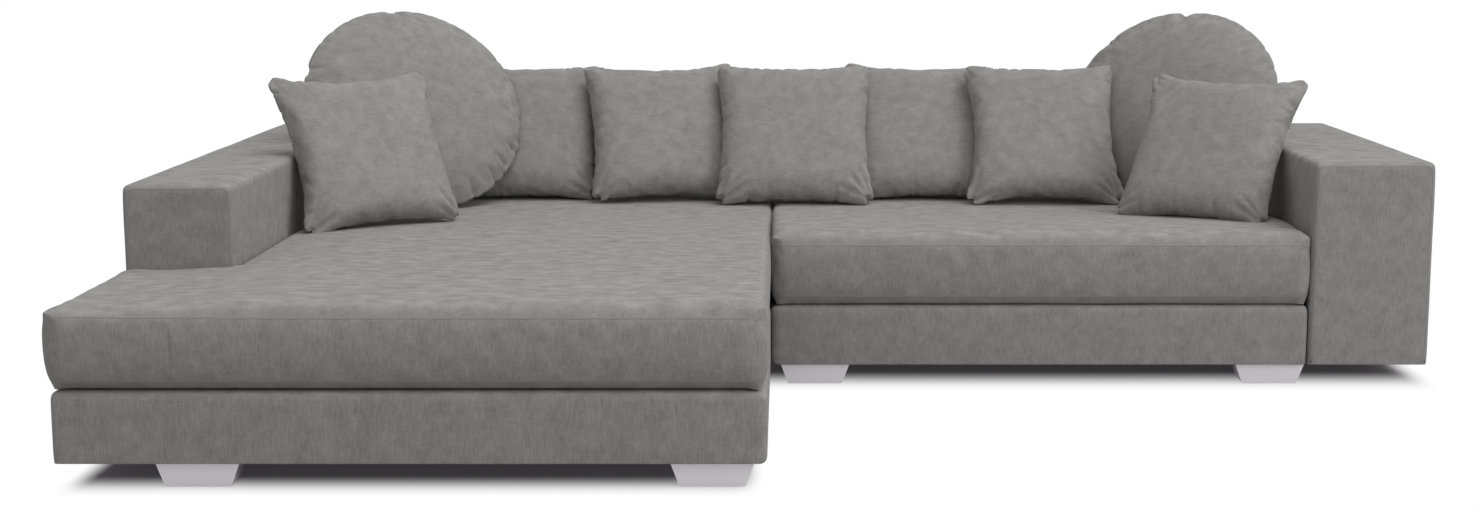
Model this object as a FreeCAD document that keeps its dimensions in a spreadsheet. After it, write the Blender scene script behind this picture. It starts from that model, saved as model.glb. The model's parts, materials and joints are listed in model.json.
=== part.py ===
import FreeCAD, Part
import math
import os
import Sketcher
from FreeCAD import Vector

# Corner sofa in two modules: a chaise module with a low block arm on the left and a two-seat
# module with a full-height block arm on the right. Both have a block backrest, a loose crowned
# seat cushion, wedge feet and loose scatter cushions, seven square and two round.
# Lengths in millimetres. X runs to the right, Y to the back and Z up. The origin is on the floor,
# in the middle of the whole footprint.

os.makedirs("parts", exist_ok=True)
doc = FreeCAD.newDocument("corner_sofa")
sheet = doc.addObject("Spreadsheet::Sheet", "Sizes")

# Driving sizes, in groups: name, value
SIZES = [
    # Whole sofa
    ("overall_width", 3440), ("chaise_length", 2260), ("chaise_width", 1612),
    ("two_seat_depth", 1185), ("module_gap", 10),
    ("left_arm_width", 280), ("left_arm_setback", 575), ("right_arm_width", 335),
    ("arm_height", 623), ("back_height", 615), ("back_thickness", 150),
    ("underside_height", 56), ("deck_height", 226), ("seat_height", 410),
    # Covers, foam and inner frames
    ("cover_wall", 10), ("base_edge_radius", 12), ("block_edge_radius", 18),
    ("block_foam", 18), ("board", 25), ("panel", 3), ("rail_top", 190),
    ("dust_sheet", 1.5), ("web_thickness", 1.5), ("web_width", 60), ("web_pitch", 150),
    ("felt_thickness", 4), ("brace_pitch", 420), ("back_web_pitch", 110),
    # Feet and their fixings
    ("foot_width_top", 190), ("foot_width_bottom", 150), ("foot_depth", 70),
    ("foot_setback", 16), ("foot_corner_radius", 6), ("pad_thickness", 2), ("pad_margin", 12),
    ("chaise_foot_left", 326), ("chaise_foot_right", 120),
    ("two_seat_foot_left", 118), ("two_seat_foot_right", 101),
    ("bolt_radius", 4), ("bolt_clearance", 0.2), ("bolt_in_foot", 26), ("bolt_in_board", 20),
    ("block_length", 110), ("block_width", 60), ("block_height", 40),
    # Links between the two modules
    ("link_thickness", 3), ("link_width", 60), ("link_height", 90), ("link_lip", 18),
    ("link_base_height", 84), ("link_front_offset", 160), ("link_back_offset", 160),
    # Seat cushions
    ("cushion_clearance", 0.3), ("cushion_side_gap", 2), ("front_bulge", 12), ("side_bulge", 12),
    ("gap_bulge", 3), ("lower_seam_rise", 20), ("upper_seam_drop", 18), ("crown_edge_drop", 6),
    ("crown_edge_run", 34), ("crown_run", 100), ("tight_edge_run", 8), ("tight_crown_run", 26),
    ("bottom_tuck", 14), ("tight_tuck", 3), ("cushion_corner_radius", 34),
    ("cushion_tight_radius", 12), ("cushion_wall", 16), ("cushion_base_wall", 6),
    ("cushion_top_wall", 16), ("core_shoulder_run", 44), ("core_shoulder_drop", 6),
    ("core_clearance", 0.5),
    # Scatter cushions
    ("square_side", 500), ("square_thickness", 136), ("square_draw_in", 24),
    ("square_ear_radius", 14), ("round_left_diameter", 680), ("round_right_diameter", 660),
    ("round_thickness", 150), ("case_wall", 4), ("filling_clearance", 0.5),
    # Where the scatter cushions stand: the corner ones from an arm, and all of them before the back
    ("square_1_from_arm", 259), ("square_1_from_back", 876),
    ("square_2_from_back", 218), ("square_3_from_back", 270), ("square_4_from_back", 336),
    ("square_5_from_back", 221), ("square_6_from_back", 338),
    ("square_7_from_arm", 280), ("square_7_from_back", 706),
    ("round_left_from_arm", 332), ("round_left_from_back", 456),
    ("round_right_from_arm", 323), ("round_right_from_back", 277),
    # Their lean from upright and turn to the side, in degrees
    ("row_lean_angle", 33), ("square_3_turn_angle", 11),
    ("square_1_lean_angle", 29.7), ("square_1_turn_angle", 36.3),
    ("square_7_lean_angle", 34.6), ("square_7_turn_angle", -34.9),
    ("round_left_lean_angle", 28.9), ("round_left_turn_angle", 33),
    ("round_right_lean_angle", 28.8), ("round_right_turn_angle", -33.7),
]
for row, (alias, value) in enumerate(SIZES, start=1):
    sheet.set("A%d" % row, alias)
    sheet.set("B%d" % row, str(value))
    sheet.setAlias("B%d" % row, alias)
doc.recompute()


def size(text):
    """Value of an expression of the sheet's names."""
    value = sheet.evalExpression(text)
    return float(getattr(value, "Value", value))


# Main planes of the sofa, as expressions of the sheet
LEFT = "(Sizes.side_bulge - Sizes.overall_width) / 2"
RIGHT = LEFT + " + Sizes.overall_width"
FRONT = "(Sizes.front_bulge - Sizes.chaise_length) / 2"
REAR = FRONT + " + Sizes.chaise_length"
LEFT_INNER = LEFT + " + Sizes.left_arm_width"
RIGHT_INNER = RIGHT + " - Sizes.right_arm_width"
LEFT_ARM_FRONT = FRONT + " + Sizes.left_arm_setback"
BACK_FRONT = REAR + " - Sizes.back_thickness"
SPLIT_LEFT = LEFT + " + Sizes.chaise_width"
SPLIT_RIGHT = SPLIT_LEFT + " + Sizes.module_gap"
TWO_SEAT_FRONT = REAR + " - Sizes.two_seat_depth"
UNDERSIDE = "Sizes.underside_height"
FRAME_BOTTOM = "Sizes.underside_height + Sizes.dust_sheet"
WALL = "Sizes.cover_wall"
BOARD = "Sizes.board"
NOTHING = "0"

nodes = {}


def keep(label, item):
    """Make an object one of the sofa's pieces under its own name."""
    item.Label = label
    nodes[label] = item
    return item


def block(name, low, extent):
    """A board or sheet: its low corner and its extent, each three expressions."""
    box = doc.addObject("Part::Box", name)
    for axis, text in zip("xyz", low):
        box.setExpression("Placement.Base." + axis, text)
    for side, text in zip(("Length", "Width", "Height"), extent):
        box.setExpression(side, text)
    return box


def span_block(name, x_low, x_high, y_low, y_high, z_low, z_high):
    """A block between six planes, each an expression."""
    pairs = ((x_low, x_high), (y_low, y_high), (z_low, z_high))
    extent = ["(%s) - (%s)" % (high, low) for low, high in pairs]
    return block(name, [low for low, high in pairs], extent)


def rod(name, x, y, z, radius, height):
    """An upright round bar, from expressions."""
    bar = doc.addObject("Part::Cylinder", name)
    for axis, text in zip("xyz", (x, y, z)):
        bar.setExpression("Placement.Base." + axis, text)
    bar.setExpression("Radius", radius)
    bar.setExpression("Height", height)
    return bar


def group(name, items):
    """Like pieces that share one node as separate solids."""
    bundle = doc.addObject("Part::Compound", name)
    bundle.Links = items
    return bundle


def cut(name, base, tool):
    """One object less another."""
    result = doc.addObject("Part::Cut", name)
    result.Base = base
    result.Tool = tool
    return result


def fuse(name, base, tool):
    """Two objects joined into one piece."""
    result = doc.addObject("Part::Fuse", name)
    result.Base = base
    result.Tool = tool
    return result


def origin_plane(body, role):
    """One of a body's own origin planes."""
    return [item for item in body.Origin.OriginFeatures if item.Role == role][0]


def outline_sketch(body, name, plane, corners, offset=None):
    """A closed sketch of straight lines, each corner held at two expressions."""
    sketch = body.newObject("Sketcher::SketchObject", name)
    sketch.AttachmentSupport = [(origin_plane(body, plane), "")]
    sketch.MapMode = "FlatFace"
    if offset:
        sketch.setExpression("AttachmentOffset.Base.z", offset)
    points = [Vector(size(across), size(along), 0) for across, along in corners]
    count = len(points)
    for index in range(count):
        sketch.addGeometry(Part.LineSegment(points[index], points[(index + 1) % count]), False)
    for index in range(count):
        follower = (index + 1) % count
        sketch.addConstraint(Sketcher.Constraint("Coincident", index, 2, follower, 1))
    for index, (across, along) in enumerate(corners):
        for kind, text, value in (("DistanceX", across, points[index].x),
                                  ("DistanceY", along, points[index].y)):
            number = sketch.addConstraint(Sketcher.Constraint(kind, -1, 1, index, 1, value))
            sketch.setExpression("Constraints[%d]" % number, text)
    return sketch


def rectangle(x_low, x_high, y_low, y_high):
    """Corners of a rectangle between four planes."""
    return [(x_low, y_low), (x_high, y_low), (x_high, y_high), (x_low, y_high)]


def chaise_outline(inset):
    """Corners of the chaise base, wide before the arm and narrow beside it, drawn in all round."""
    left = "%s + (%s)" % (LEFT, inset)
    right = "%s - (%s)" % (SPLIT_LEFT, inset)
    front = "%s + (%s)" % (FRONT, inset)
    rear = "%s - (%s)" % (BACK_FRONT, inset)
    inner = "%s + (%s)" % (LEFT_INNER, inset)
    step = "%s - (%s)" % (LEFT_ARM_FRONT, inset)
    return [(left, front), (right, front), (right, rear), (inner, rear), (inner, step), (left, step)]


def two_seat_outline(inset):
    """Corners of the two-seat base, drawn in all round."""
    return rectangle("%s + (%s)" % (SPLIT_RIGHT, inset), "%s - (%s)" % (RIGHT_INNER, inset),
                     "%s + (%s)" % (TWO_SEAT_FRONT, inset), "%s - (%s)" % (BACK_FRONT, inset))


def slab(name, corners, z_low, thickness):
    """A flat sheet of one outline."""
    body = doc.addObject("PartDesign::Body", name)
    sketch = outline_sketch(body, name + "_outline", "XY_Plane", corners, z_low)
    pad = body.newObject("PartDesign::Pad", name + "_pad")
    pad.Profile = sketch
    pad.setExpression("Length", thickness)
    doc.recompute()
    return body


def cover(name, outer, inner, height, radius, hidden_from=REAR):
    """An upholstery cover: a box hollow from below, rounded where its edges are in sight."""
    body = slab(name, outer, UNDERSIDE, "%s - %s" % (height, UNDERSIDE))
    pad = body.Tip
    foot_level = size(UNDERSIDE) + size(WALL)
    hidden = size(hidden_from) - size(WALL)
    edges = []
    for number, edge in enumerate(pad.Shape.Edges, start=1):
        lowered = all(vertex.Z < foot_level for vertex in edge.Vertexes)
        covered = hidden_from != REAR and all(vertex.Y > hidden for vertex in edge.Vertexes)
        if not lowered and not covered:
            edges.append("Edge%d" % number)
    fillet = body.newObject("PartDesign::Fillet", name + "_rounding")
    fillet.Base = (pad, edges)
    fillet.setExpression("Radius", radius)
    doc.recompute()
    solid_volume = fillet.Shape.Volume
    sketch = outline_sketch(body, name + "_hollow_outline", "XY_Plane", inner, UNDERSIDE)
    pocket = body.newObject("PartDesign::Pocket", name + "_hollow")
    pocket.Profile = sketch
    pocket.Reversed = True
    pocket.setExpression("Length", "%s - %s - %s" % (height, UNDERSIDE, WALL))
    doc.recompute()
    if not pocket.Shape.Volume < solid_volume:
        raise ValueError(name + " was not hollowed")
    return body


# Bases

def rails(prefix, boards):
    """The rails of one base, each a board on edge between four planes."""
    items = []
    for name, x_low, x_high, y_low, y_high in boards:
        items.append(span_block(prefix + name, x_low, x_high, y_low, y_high,
                                FRAME_BOTTOM, "Sizes.rail_top"))
    return items


def chaise_rails():
    """Perimeter boards and cross boards of the chaise base."""
    left = "%s + %s" % (LEFT, WALL)
    right = "%s - %s" % (SPLIT_LEFT, WALL)
    front = "%s + %s" % (FRONT, WALL)
    rear = "%s - %s" % (BACK_FRONT, WALL)
    inner = "%s + %s" % (LEFT_INNER, WALL)
    step = "%s - %s" % (LEFT_ARM_FRONT, WALL)
    perimeter = rails("chaise_rail_", [
        ("front", left, right, front, "%s + %s" % (front, BOARD)),
        ("left", left, "%s + %s" % (left, BOARD), "%s + %s" % (front, BOARD),
         "%s - %s" % (step, BOARD)),
        ("step", left, "%s + %s" % (inner, BOARD), "%s - %s" % (step, BOARD), step),
        ("inner", inner, "%s + %s" % (inner, BOARD), step, "%s - %s" % (rear, BOARD)),
        ("rear", inner, right, "%s - %s" % (rear, BOARD), rear),
        ("right", "%s - %s" % (right, BOARD), right, "%s + %s" % (front, BOARD),
         "%s - %s" % (rear, BOARD)),
    ])
    cross_left = "%s + %s" % (inner, BOARD)
    cross_right = "%s - %s" % (right, BOARD)
    boards = [("step", cross_left, cross_right, "%s - %s" % (step, BOARD), step)]
    depth = "((%s) - (%s))" % (rear, step)
    for number, share in enumerate((1 / 4, 2 / 4, 3 / 4), start=1):
        low = "%s + %s * %s" % (step, share, depth)
        boards.append(("cross_%d" % number, cross_left, cross_right, low, "%s + %s" % (low, BOARD)))
    keep("chaise_perimeter_rails", group("chaise_perimeter", perimeter))
    keep("chaise_cross_rails", group("chaise_cross", rails("chaise_rail_between_", boards)))


def two_seat_rails():
    """Perimeter boards and cross boards of the two-seat base."""
    left = "%s + %s" % (SPLIT_RIGHT, WALL)
    right = "%s - %s" % (RIGHT_INNER, WALL)
    front = "%s + %s" % (TWO_SEAT_FRONT, WALL)
    rear = "%s - %s" % (BACK_FRONT, WALL)
    inside_front = "%s + %s" % (front, BOARD)
    inside_rear = "%s - %s" % (rear, BOARD)
    perimeter = rails("two_seat_rail_", [
        ("front", left, right, front, inside_front),
        ("rear", left, right, inside_rear, rear),
        ("left", left, "%s + %s" % (left, BOARD), inside_front, inside_rear),
        ("right", "%s - %s" % (right, BOARD), right, inside_front, inside_rear),
    ])
    boards = []
    width = "((%s) - (%s))" % (right, left)
    for number, share in enumerate((1 / 3, 2 / 3), start=1):
        low = "%s + %s * %s - %s / 2" % (left, share, width, BOARD)
        boards.append(("cross_%d" % number, low, "%s + %s" % (low, BOARD), inside_front, inside_rear))
    keep("two_seat_perimeter_rails", group("two_seat_perimeter", perimeter))
    keep("two_seat_cross_rails", group("two_seat_cross", rails("two_seat_rail_between_", boards)))


def seat_webbing(prefix, x_low, x_high, y_low, y_high, wide_from=None):
    """Elastic bands on the rails: one layer across, one layer along over it."""
    across = []
    pitch = size("Sizes.web_pitch")
    count = max(2, int((size(y_high) - size(y_low)) // pitch))
    for number in range(count):
        middle = "%s + (%s) * ((%s) - (%s))" % (y_low, (number + 0.5) / count, y_high, y_low)
        left = x_low
        if wide_from and size(middle) + size("Sizes.web_width") < size(wide_from[0]):
            left = wide_from[1]
        across.append(span_block(
            "%s_band_across_%d" % (prefix, number), left, x_high,
            middle + " - Sizes.web_width / 2", middle + " + Sizes.web_width / 2",
            "Sizes.rail_top", "Sizes.rail_top + Sizes.web_thickness"))
    along = []
    count = max(2, int((size(x_high) - size(x_low)) // pitch))
    for number in range(count):
        middle = "%s + (%s) * ((%s) - (%s))" % (x_low, (number + 0.5) / count, x_high, x_low)
        along.append(span_block(
            "%s_band_along_%d" % (prefix, number),
            middle + " - Sizes.web_width / 2", middle + " + Sizes.web_width / 2", y_low, y_high,
            "Sizes.rail_top + Sizes.web_thickness", "Sizes.rail_top + 2 * Sizes.web_thickness"))
    keep(prefix + "_seat_webbing", group(prefix + "_bands", across + along))


def seat_deck(prefix, outline, hidden_from):
    """Felt over the webbing, the foam sheet over it and the cover of the whole base."""
    felt_low = "Sizes.rail_top + 2 * Sizes.web_thickness"
    keep(prefix + "_felt_pad", slab(prefix + "_felt", outline(WALL), felt_low,
                                    "Sizes.felt_thickness"))
    foam_low = felt_low + " + Sizes.felt_thickness"
    keep(prefix + "_deck_foam", slab(prefix + "_deck", outline(WALL), foam_low,
                                     "Sizes.deck_height - %s - (%s)" % (WALL, foam_low)))
    keep(prefix + "_base_cover", cover(prefix + "_base", outline(NOTHING), outline(WALL),
                                       "Sizes.deck_height", "Sizes.base_edge_radius", hidden_from))


# Upholstered blocks: two arms and two backs, each a board box, hardboard or webbing, foam and cover

def block_planes(x_low, x_high, y_low, y_high, height, inset):
    """The six planes of a block's inside, drawn in at its sides and top."""
    return ("%s + (%s)" % (x_low, inset), "%s - (%s)" % (x_high, inset),
            "%s + (%s)" % (y_low, inset), "%s - (%s)" % (y_high, inset),
            FRAME_BOTTOM, "%s - (%s)" % (height, inset))


def block_shells(prefix, bounds, height):
    """Cover and foam sleeve of one block; returns the planes of the frame inside."""
    inner = block_planes(*bounds, height, WALL)
    keep(prefix + "_cover", cover(prefix, rectangle(*bounds), rectangle(*inner[:4]), height,
                                  "Sizes.block_edge_radius"))
    frame = block_planes(*bounds, height, "Sizes.cover_wall + Sizes.block_foam")
    foam = cut(prefix + "_sleeve", span_block(prefix + "_foam_outside", *inner),
               span_block(prefix + "_foam_inside", *frame))
    keep(prefix + "_foam", foam)
    return frame


def arm(prefix, x_low, x_high, y_low, height="Sizes.arm_height"):
    """A block arm that reaches down to the underside."""
    x0, x1, y0, y1, z0, z1 = block_shells(prefix, (x_low, x_high, y_low, REAR), height)
    side_low = "%s + Sizes.panel" % x0
    side_high = "%s - Sizes.panel" % x1
    boards = [
        span_block(prefix + "_board_bottom", side_low, side_high, y0, y1, z0, z0 + " + " + BOARD),
        span_block(prefix + "_board_top", side_low, side_high, y0, y1, z1 + " - " + BOARD, z1),
    ]
    upright_low = z0 + " + " + BOARD
    upright_high = z1 + " - " + BOARD
    run = "((%s) - (%s) - %s)" % (y1, y0, BOARD)
    count = max(2, int(size(run) // size("Sizes.brace_pitch")) + 1)
    for number in range(count):
        low = "%s + %s * %s" % (y0, number / (count - 1), run)
        boards.append(span_block("%s_upright_%d" % (prefix, number), side_low, side_high, low,
                                 "%s + %s" % (low, BOARD), upright_low, upright_high))
    keep(prefix + "_frame", group(prefix + "_boards", boards))
    keep(prefix + "_panels", group(prefix + "_sheets", [
        span_block(prefix + "_sheet_left", x0, side_low, y0, y1, z0, z1),
        span_block(prefix + "_sheet_right", side_high, x1, y0, y1, z0, z1),
    ]))


def back(prefix, x_low, x_high, bolt_places):
    """A block backrest: board box, elastic bands over its front, foam and cover."""
    x0, x1, y0, y1, z0, z1 = block_shells(prefix, (x_low, x_high, BACK_FRONT, REAR),
                                          "Sizes.back_height")
    front = "%s + Sizes.web_thickness" % y0
    bottom = span_block(prefix + "_board_blank", x0, x1, front, y1, z0, z0 + " + " + BOARD)
    boards = [
        cut(prefix + "_board_bottom", bottom, group(prefix + "_board_bores", bolt_bores(
            prefix + "_board", bolt_places))),
        span_block(prefix + "_board_top", x0, x1, front, y1, z1 + " - " + BOARD, z1),
    ]
    run = "((%s) - (%s) - %s)" % (x1, x0, BOARD)
    count = max(2, int(size(run) // size("Sizes.brace_pitch")) + 1)
    for number in range(count):
        low = "%s + %s * %s" % (x0, number / (count - 1), run)
        boards.append(span_block("%s_upright_%d" % (prefix, number), low, "%s + %s" % (low, BOARD),
                                 front, y1, z0 + " + " + BOARD, z1 + " - " + BOARD))
    keep(prefix + "_frame", group(prefix + "_boards", boards))
    bands = []
    rise = "((%s) - (%s))" % (z1, z0)
    count = max(2, int(size(rise) // size("Sizes.back_web_pitch")))
    for number in range(count):
        middle = "%s + %s * %s" % (z0, (number + 0.5) / count, rise)
        bands.append(span_block("%s_band_%d" % (prefix, number), x0, x1, y0, front,
                                middle + " - Sizes.web_width / 2",
                                middle + " + Sizes.web_width / 2"))
    keep(prefix + "_webbing", group(prefix + "_bands", bands))


# Feet, pads, bolts and foot blocks

FOOT_FRONT_MIDDLE = "Sizes.foot_setback + Sizes.foot_depth / 2"
CHAISE_FEET_X = (LEFT + " + Sizes.chaise_foot_left", SPLIT_LEFT + " - Sizes.chaise_foot_right")
TWO_SEAT_FEET_X = (SPLIT_RIGHT + " + Sizes.two_seat_foot_left",
                   RIGHT_INNER + " - Sizes.two_seat_foot_right")
REAR_FEET_Y = "%s - (%s)" % (REAR, FOOT_FRONT_MIDDLE)
CHAISE_FRONT_FEET_Y = "%s + %s" % (FRONT, FOOT_FRONT_MIDDLE)
TWO_SEAT_FRONT_FEET_Y = "%s + %s" % (TWO_SEAT_FRONT, FOOT_FRONT_MIDDLE)


def places(columns, row):
    """Foot places of one row."""
    return [(column, row) for column in columns]


def bolt_bores(prefix, spots):
    """Bores for the foot bolts, through whatever they cut."""
    low = "Sizes.underside_height - Sizes.bolt_in_foot"
    height = "Sizes.bolt_in_foot + Sizes.bolt_in_board"
    return [rod("%s_bore_%d" % (prefix, number), x, y, low, "Sizes.bolt_radius + Sizes.bolt_clearance",
                height) for number, (x, y) in enumerate(spots)]


def foot(name, x, y):
    """A wedge foot: wide at the top, narrow at the floor, with softened lower corners."""
    body = doc.addObject("PartDesign::Body", name)
    top = "Sizes.foot_width_top / 2"
    low = "Sizes.foot_width_bottom / 2"
    base = "Sizes.pad_thickness"
    sketch = outline_sketch(body, name + "_face", "XZ_Plane",
                            [("-" + low, base), (low, base), (top, UNDERSIDE), ("-" + top, UNDERSIDE)])
    pad = body.newObject("PartDesign::Pad", name + "_pad")
    pad.Profile = sketch
    pad.Midplane = True
    pad.setExpression("Length", "Sizes.foot_depth")
    doc.recompute()
    floor_edges = []
    for number, edge in enumerate(pad.Shape.Edges, start=1):
        along_depth = abs(edge.tangentAt(edge.FirstParameter).y) > 0.9
        if along_depth and edge.CenterOfMass.z < size(UNDERSIDE) / 2:
            floor_edges.append("Edge%d" % number)
    fillet = body.newObject("PartDesign::Fillet", name + "_softening")
    fillet.Base = (pad, floor_edges)
    fillet.setExpression("Radius", "Sizes.foot_corner_radius")
    doc.recompute()
    body.setExpression("Placement.Base.x", x)
    body.setExpression("Placement.Base.y", y)
    return body


def feet(prefix, spots):
    """The feet of one module, each bored for its bolt."""
    items = []
    for number, (x, y) in enumerate(spots):
        name = "%s_foot_%d" % (prefix, number)
        items.append(cut(name + "_bored", foot(name, x, y), bolt_bores(name, [(x, y)])[0]))
    keep(prefix + "_feet", group(prefix + "_foot_set", items))


def foot_blocks(prefix, spots):
    """Bored softwood blocks behind the front rail that take the front foot bolts."""
    items = []
    for number, (x, y) in enumerate(spots):
        rail_face = "%s - Sizes.foot_setback - Sizes.foot_depth / 2 + %s + %s" % (y, WALL, BOARD)
        blank = span_block("%s_block_%d" % (prefix, number),
                           x + " - Sizes.block_length / 2", x + " + Sizes.block_length / 2",
                           rail_face, rail_face + " + Sizes.block_width",
                           FRAME_BOTTOM, FRAME_BOTTOM + " + Sizes.block_height")
        items.append(cut("%s_block_%d_bored" % (prefix, number), blank,
                         bolt_bores("%s_block_%d" % (prefix, number), [(x, y)])[0]))
    return items


def dust_cover(prefix, base_outline, boxes, spots):
    """Black under-cloth of one module: a sheet under the base, the arm and the back."""
    sheets = [slab(prefix + "_underside", base_outline(WALL), UNDERSIDE, "Sizes.dust_sheet")]
    for number, (x_low, x_high, y_low, y_high) in enumerate(boxes):
        sheets.append(span_block("%s_underside_%d" % (prefix, number), x_low + " + " + WALL,
                                 x_high + " - " + WALL, y_low + " + " + WALL, y_high + " - " + WALL,
                                 UNDERSIDE, FRAME_BOTTOM))
    items = []
    for number, sheet_part in enumerate(sheets):
        bores = group("%s_cloth_bores_%d" % (prefix, number),
                      bolt_bores("%s_cloth_%d" % (prefix, number), spots))
        items.append(cut("%s_cloth_%d" % (prefix, number), sheet_part, bores))
    keep(prefix + "_dust_cover", group(prefix + "_cloths", items))


# Links that hook the modules together, in the gap between their bases

def links():
    """Steel plates on the chaise side with a raised lip, and hooks on the two-seat side."""
    sockets = []
    hooks = []
    rows = (TWO_SEAT_FRONT + " + Sizes.link_front_offset",
            BACK_FRONT + " - Sizes.link_back_offset")
    low = "Sizes.link_base_height"
    thick = "Sizes.link_thickness"
    for number, middle in enumerate(rows):
        near = middle + " - Sizes.link_width / 2"
        far = middle + " + Sizes.link_width / 2"
        plate = span_block("socket_plate_%d" % number, SPLIT_LEFT, SPLIT_LEFT + " + " + thick,
                           near, far, low, low + " + Sizes.link_height / 2")
        lip = span_block("socket_lip_%d" % number, SPLIT_LEFT + " + " + thick,
                         SPLIT_RIGHT + " - " + thick, near, far, low, low + " + " + thick)
        sockets.append(fuse("socket_%d" % number, plate, lip))
        hook_plate = span_block("hook_plate_%d" % number, SPLIT_RIGHT + " - " + thick, SPLIT_RIGHT,
                                near, far, low, low + " + Sizes.link_height")
        tongue = span_block("hook_tongue_%d" % number, SPLIT_LEFT + " + " + thick,
                            SPLIT_RIGHT + " - " + thick, near, far, low + " + " + thick,
                            low + " + " + thick + " + Sizes.link_lip")
        hooks.append(fuse("hook_%d" % number, hook_plate, tongue))
    keep("module_link_sockets", group("link_sockets", sockets))
    keep("module_link_hooks", group("link_hooks", hooks))


# Soft forms

def rounded_wire(corners, radii, level):
    """A closed wire of lines and corner arcs at one height."""
    count = len(corners)
    edges = []
    ends = []
    for index in range(count):
        here = Vector(corners[index][0], corners[index][1], level)
        before = Vector(corners[index - 1][0], corners[index - 1][1], level)
        after = Vector(corners[(index + 1) % count][0], corners[(index + 1) % count][1], level)
        to_before = (before - here).normalize()
        to_after = (after - here).normalize()
        half_angle = to_before.getAngle(to_after) / 2
        reach = radii[index] / math.tan(half_angle)
        middle = (to_before + to_after).normalize() * (radii[index] / math.sin(half_angle))
        centre = here + middle
        bulge = centre - middle.normalize() * radii[index]
        ends.append((here + to_before * reach, bulge, here + to_after * reach))
    for index in range(count):
        start, bulge, end = ends[index]
        edges.append(Part.Arc(start, bulge, end).toShape())
        edges.append(Part.LineSegment(end, ends[(index + 1) % count][0]).toShape())
    return Part.Wire(edges)


def cushion_levels():
    """Levels of a seat cushion from its base to its crown: height, open inset, tight inset."""
    base = size("Sizes.deck_height + Sizes.cushion_clearance")
    crown = size("Sizes.seat_height")
    lower_seam = base + size("Sizes.lower_seam_rise")
    upper_seam = crown - size("Sizes.upper_seam_drop")
    edge = crown - size("Sizes.crown_edge_drop")
    return [
        (base, size("Sizes.bottom_tuck"), size("Sizes.tight_tuck"), 0),
        (lower_seam, 0, 0, 0),
        ((lower_seam + upper_seam) / 2, 0, 0, 1),
        (upper_seam, 0, 0, 0),
        (edge, size("Sizes.crown_edge_run"), size("Sizes.tight_edge_run"), 0),
        (crown, size("Sizes.crown_run"), size("Sizes.tight_crown_run"), 0),
    ]


def faceted_form(rings):
    """A closed solid of flat faces through rings of points, with a flat face at each end."""
    count = len(rings[0])
    loops = [list(reversed(rings[0])), rings[-1]]
    for lower, upper in zip(rings, rings[1:]):
        for index in range(count):
            after = (index + 1) % count
            loops.append([lower[index], lower[after], upper[after]])
            loops.append([lower[index], upper[after], upper[index]])
    faces = [Part.Face(Part.makePolygon(loop + [loop[0]])) for loop in loops]
    return Part.Solid(Part.Shell(faces))


def seat_cushion(prefix, corner_function, radii_function, core_corners):
    """A seat cushion: crowned cover lofted through its levels, and the foam core inside."""
    wires = []
    for level, open_inset, tight_inset, bulge in cushion_levels():
        wires.append(rounded_wire(corner_function(open_inset, tight_inset, bulge),
                                  radii_function(open_inset, tight_inset), level))
    form = Part.makeLoft(wires, True, True)
    low = size("Sizes.deck_height + Sizes.cushion_clearance + Sizes.cushion_base_wall")
    shoulder = size("Sizes.seat_height - Sizes.upper_seam_drop - Sizes.core_shoulder_drop")
    high = size("Sizes.seat_height - Sizes.cushion_top_wall")
    run = size("Sizes.core_shoulder_run")

    def core(slack):
        """A foam block with straight sides up to its shoulder and a slope from there to its top."""
        levels = ((low + slack, slack), (shoulder - slack, slack), (high - slack, slack + run))
        return faceted_form([[Vector(x, y, level) for x, y in core_corners(inset)]
                             for level, inset in levels])

    shell = doc.addObject("Part::Feature", prefix + "_cover_form")
    shell.Shape = form.cut(core(size(NOTHING)))
    keep(prefix + "_cover", shell)
    foam = doc.addObject("Part::Feature", prefix + "_core_form")
    foam.Shape = core(size("Sizes.core_clearance"))
    keep(prefix + "_foam_core", foam)


def chaise_cushion_corners(open_inset, tight_inset, bulge):
    """Corners of the chaise cushion: open sides at front, left and right, tight at arm and back."""
    side_gap = size("Sizes.cushion_side_gap")
    left = size(LEFT) + open_inset - bulge * size("Sizes.side_bulge")
    right = size(SPLIT_LEFT) - open_inset * size("Sizes.tight_crown_run") / size("Sizes.crown_run")
    right = right + bulge * size("Sizes.gap_bulge")
    front = size(FRONT) + open_inset - bulge * size("Sizes.front_bulge")
    rear = size(BACK_FRONT) - side_gap - tight_inset
    inner = size(LEFT_INNER) + side_gap + tight_inset
    step = size(LEFT_ARM_FRONT) - side_gap - tight_inset
    return [(left, front), (right, front), (right, rear), (inner, rear), (inner, step), (left, step)]


def chaise_cushion_radii(open_inset, tight_inset):
    """Corner radii of the chaise cushion at one level."""
    wide = size("Sizes.cushion_corner_radius")
    tight = size("Sizes.cushion_tight_radius")
    return [wide + open_inset, wide, tight, tight, tight, tight + open_inset / 2]


def chaise_core_corners(inset):
    """Corners of the chaise cushion's foam core, drawn in all round."""
    wall = size("Sizes.cushion_wall") + inset
    side = size("Sizes.cushion_side_gap") + wall
    left = size(LEFT) + wall
    right = size(SPLIT_LEFT) - wall
    front = size(FRONT) + wall
    rear = size(BACK_FRONT) - side
    inner = size(LEFT_INNER) + side
    step = size(LEFT_ARM_FRONT) - side
    return [(left, front), (right, front), (right, rear), (inner, rear), (inner, step), (left, step)]


def two_seat_cushion_corners(open_inset, tight_inset, bulge):
    """Corners of the two-seat cushion: open at the front, tight elsewhere."""
    side_gap = size("Sizes.cushion_side_gap")
    left = size(SPLIT_RIGHT) + tight_inset - bulge * size("Sizes.gap_bulge")
    right = size(RIGHT_INNER) - side_gap - tight_inset
    front = size(TWO_SEAT_FRONT) + open_inset - bulge * size("Sizes.front_bulge") / 2
    rear = size(BACK_FRONT) - side_gap - tight_inset
    return [(left, front), (right, front), (right, rear), (left, rear)]


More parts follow.
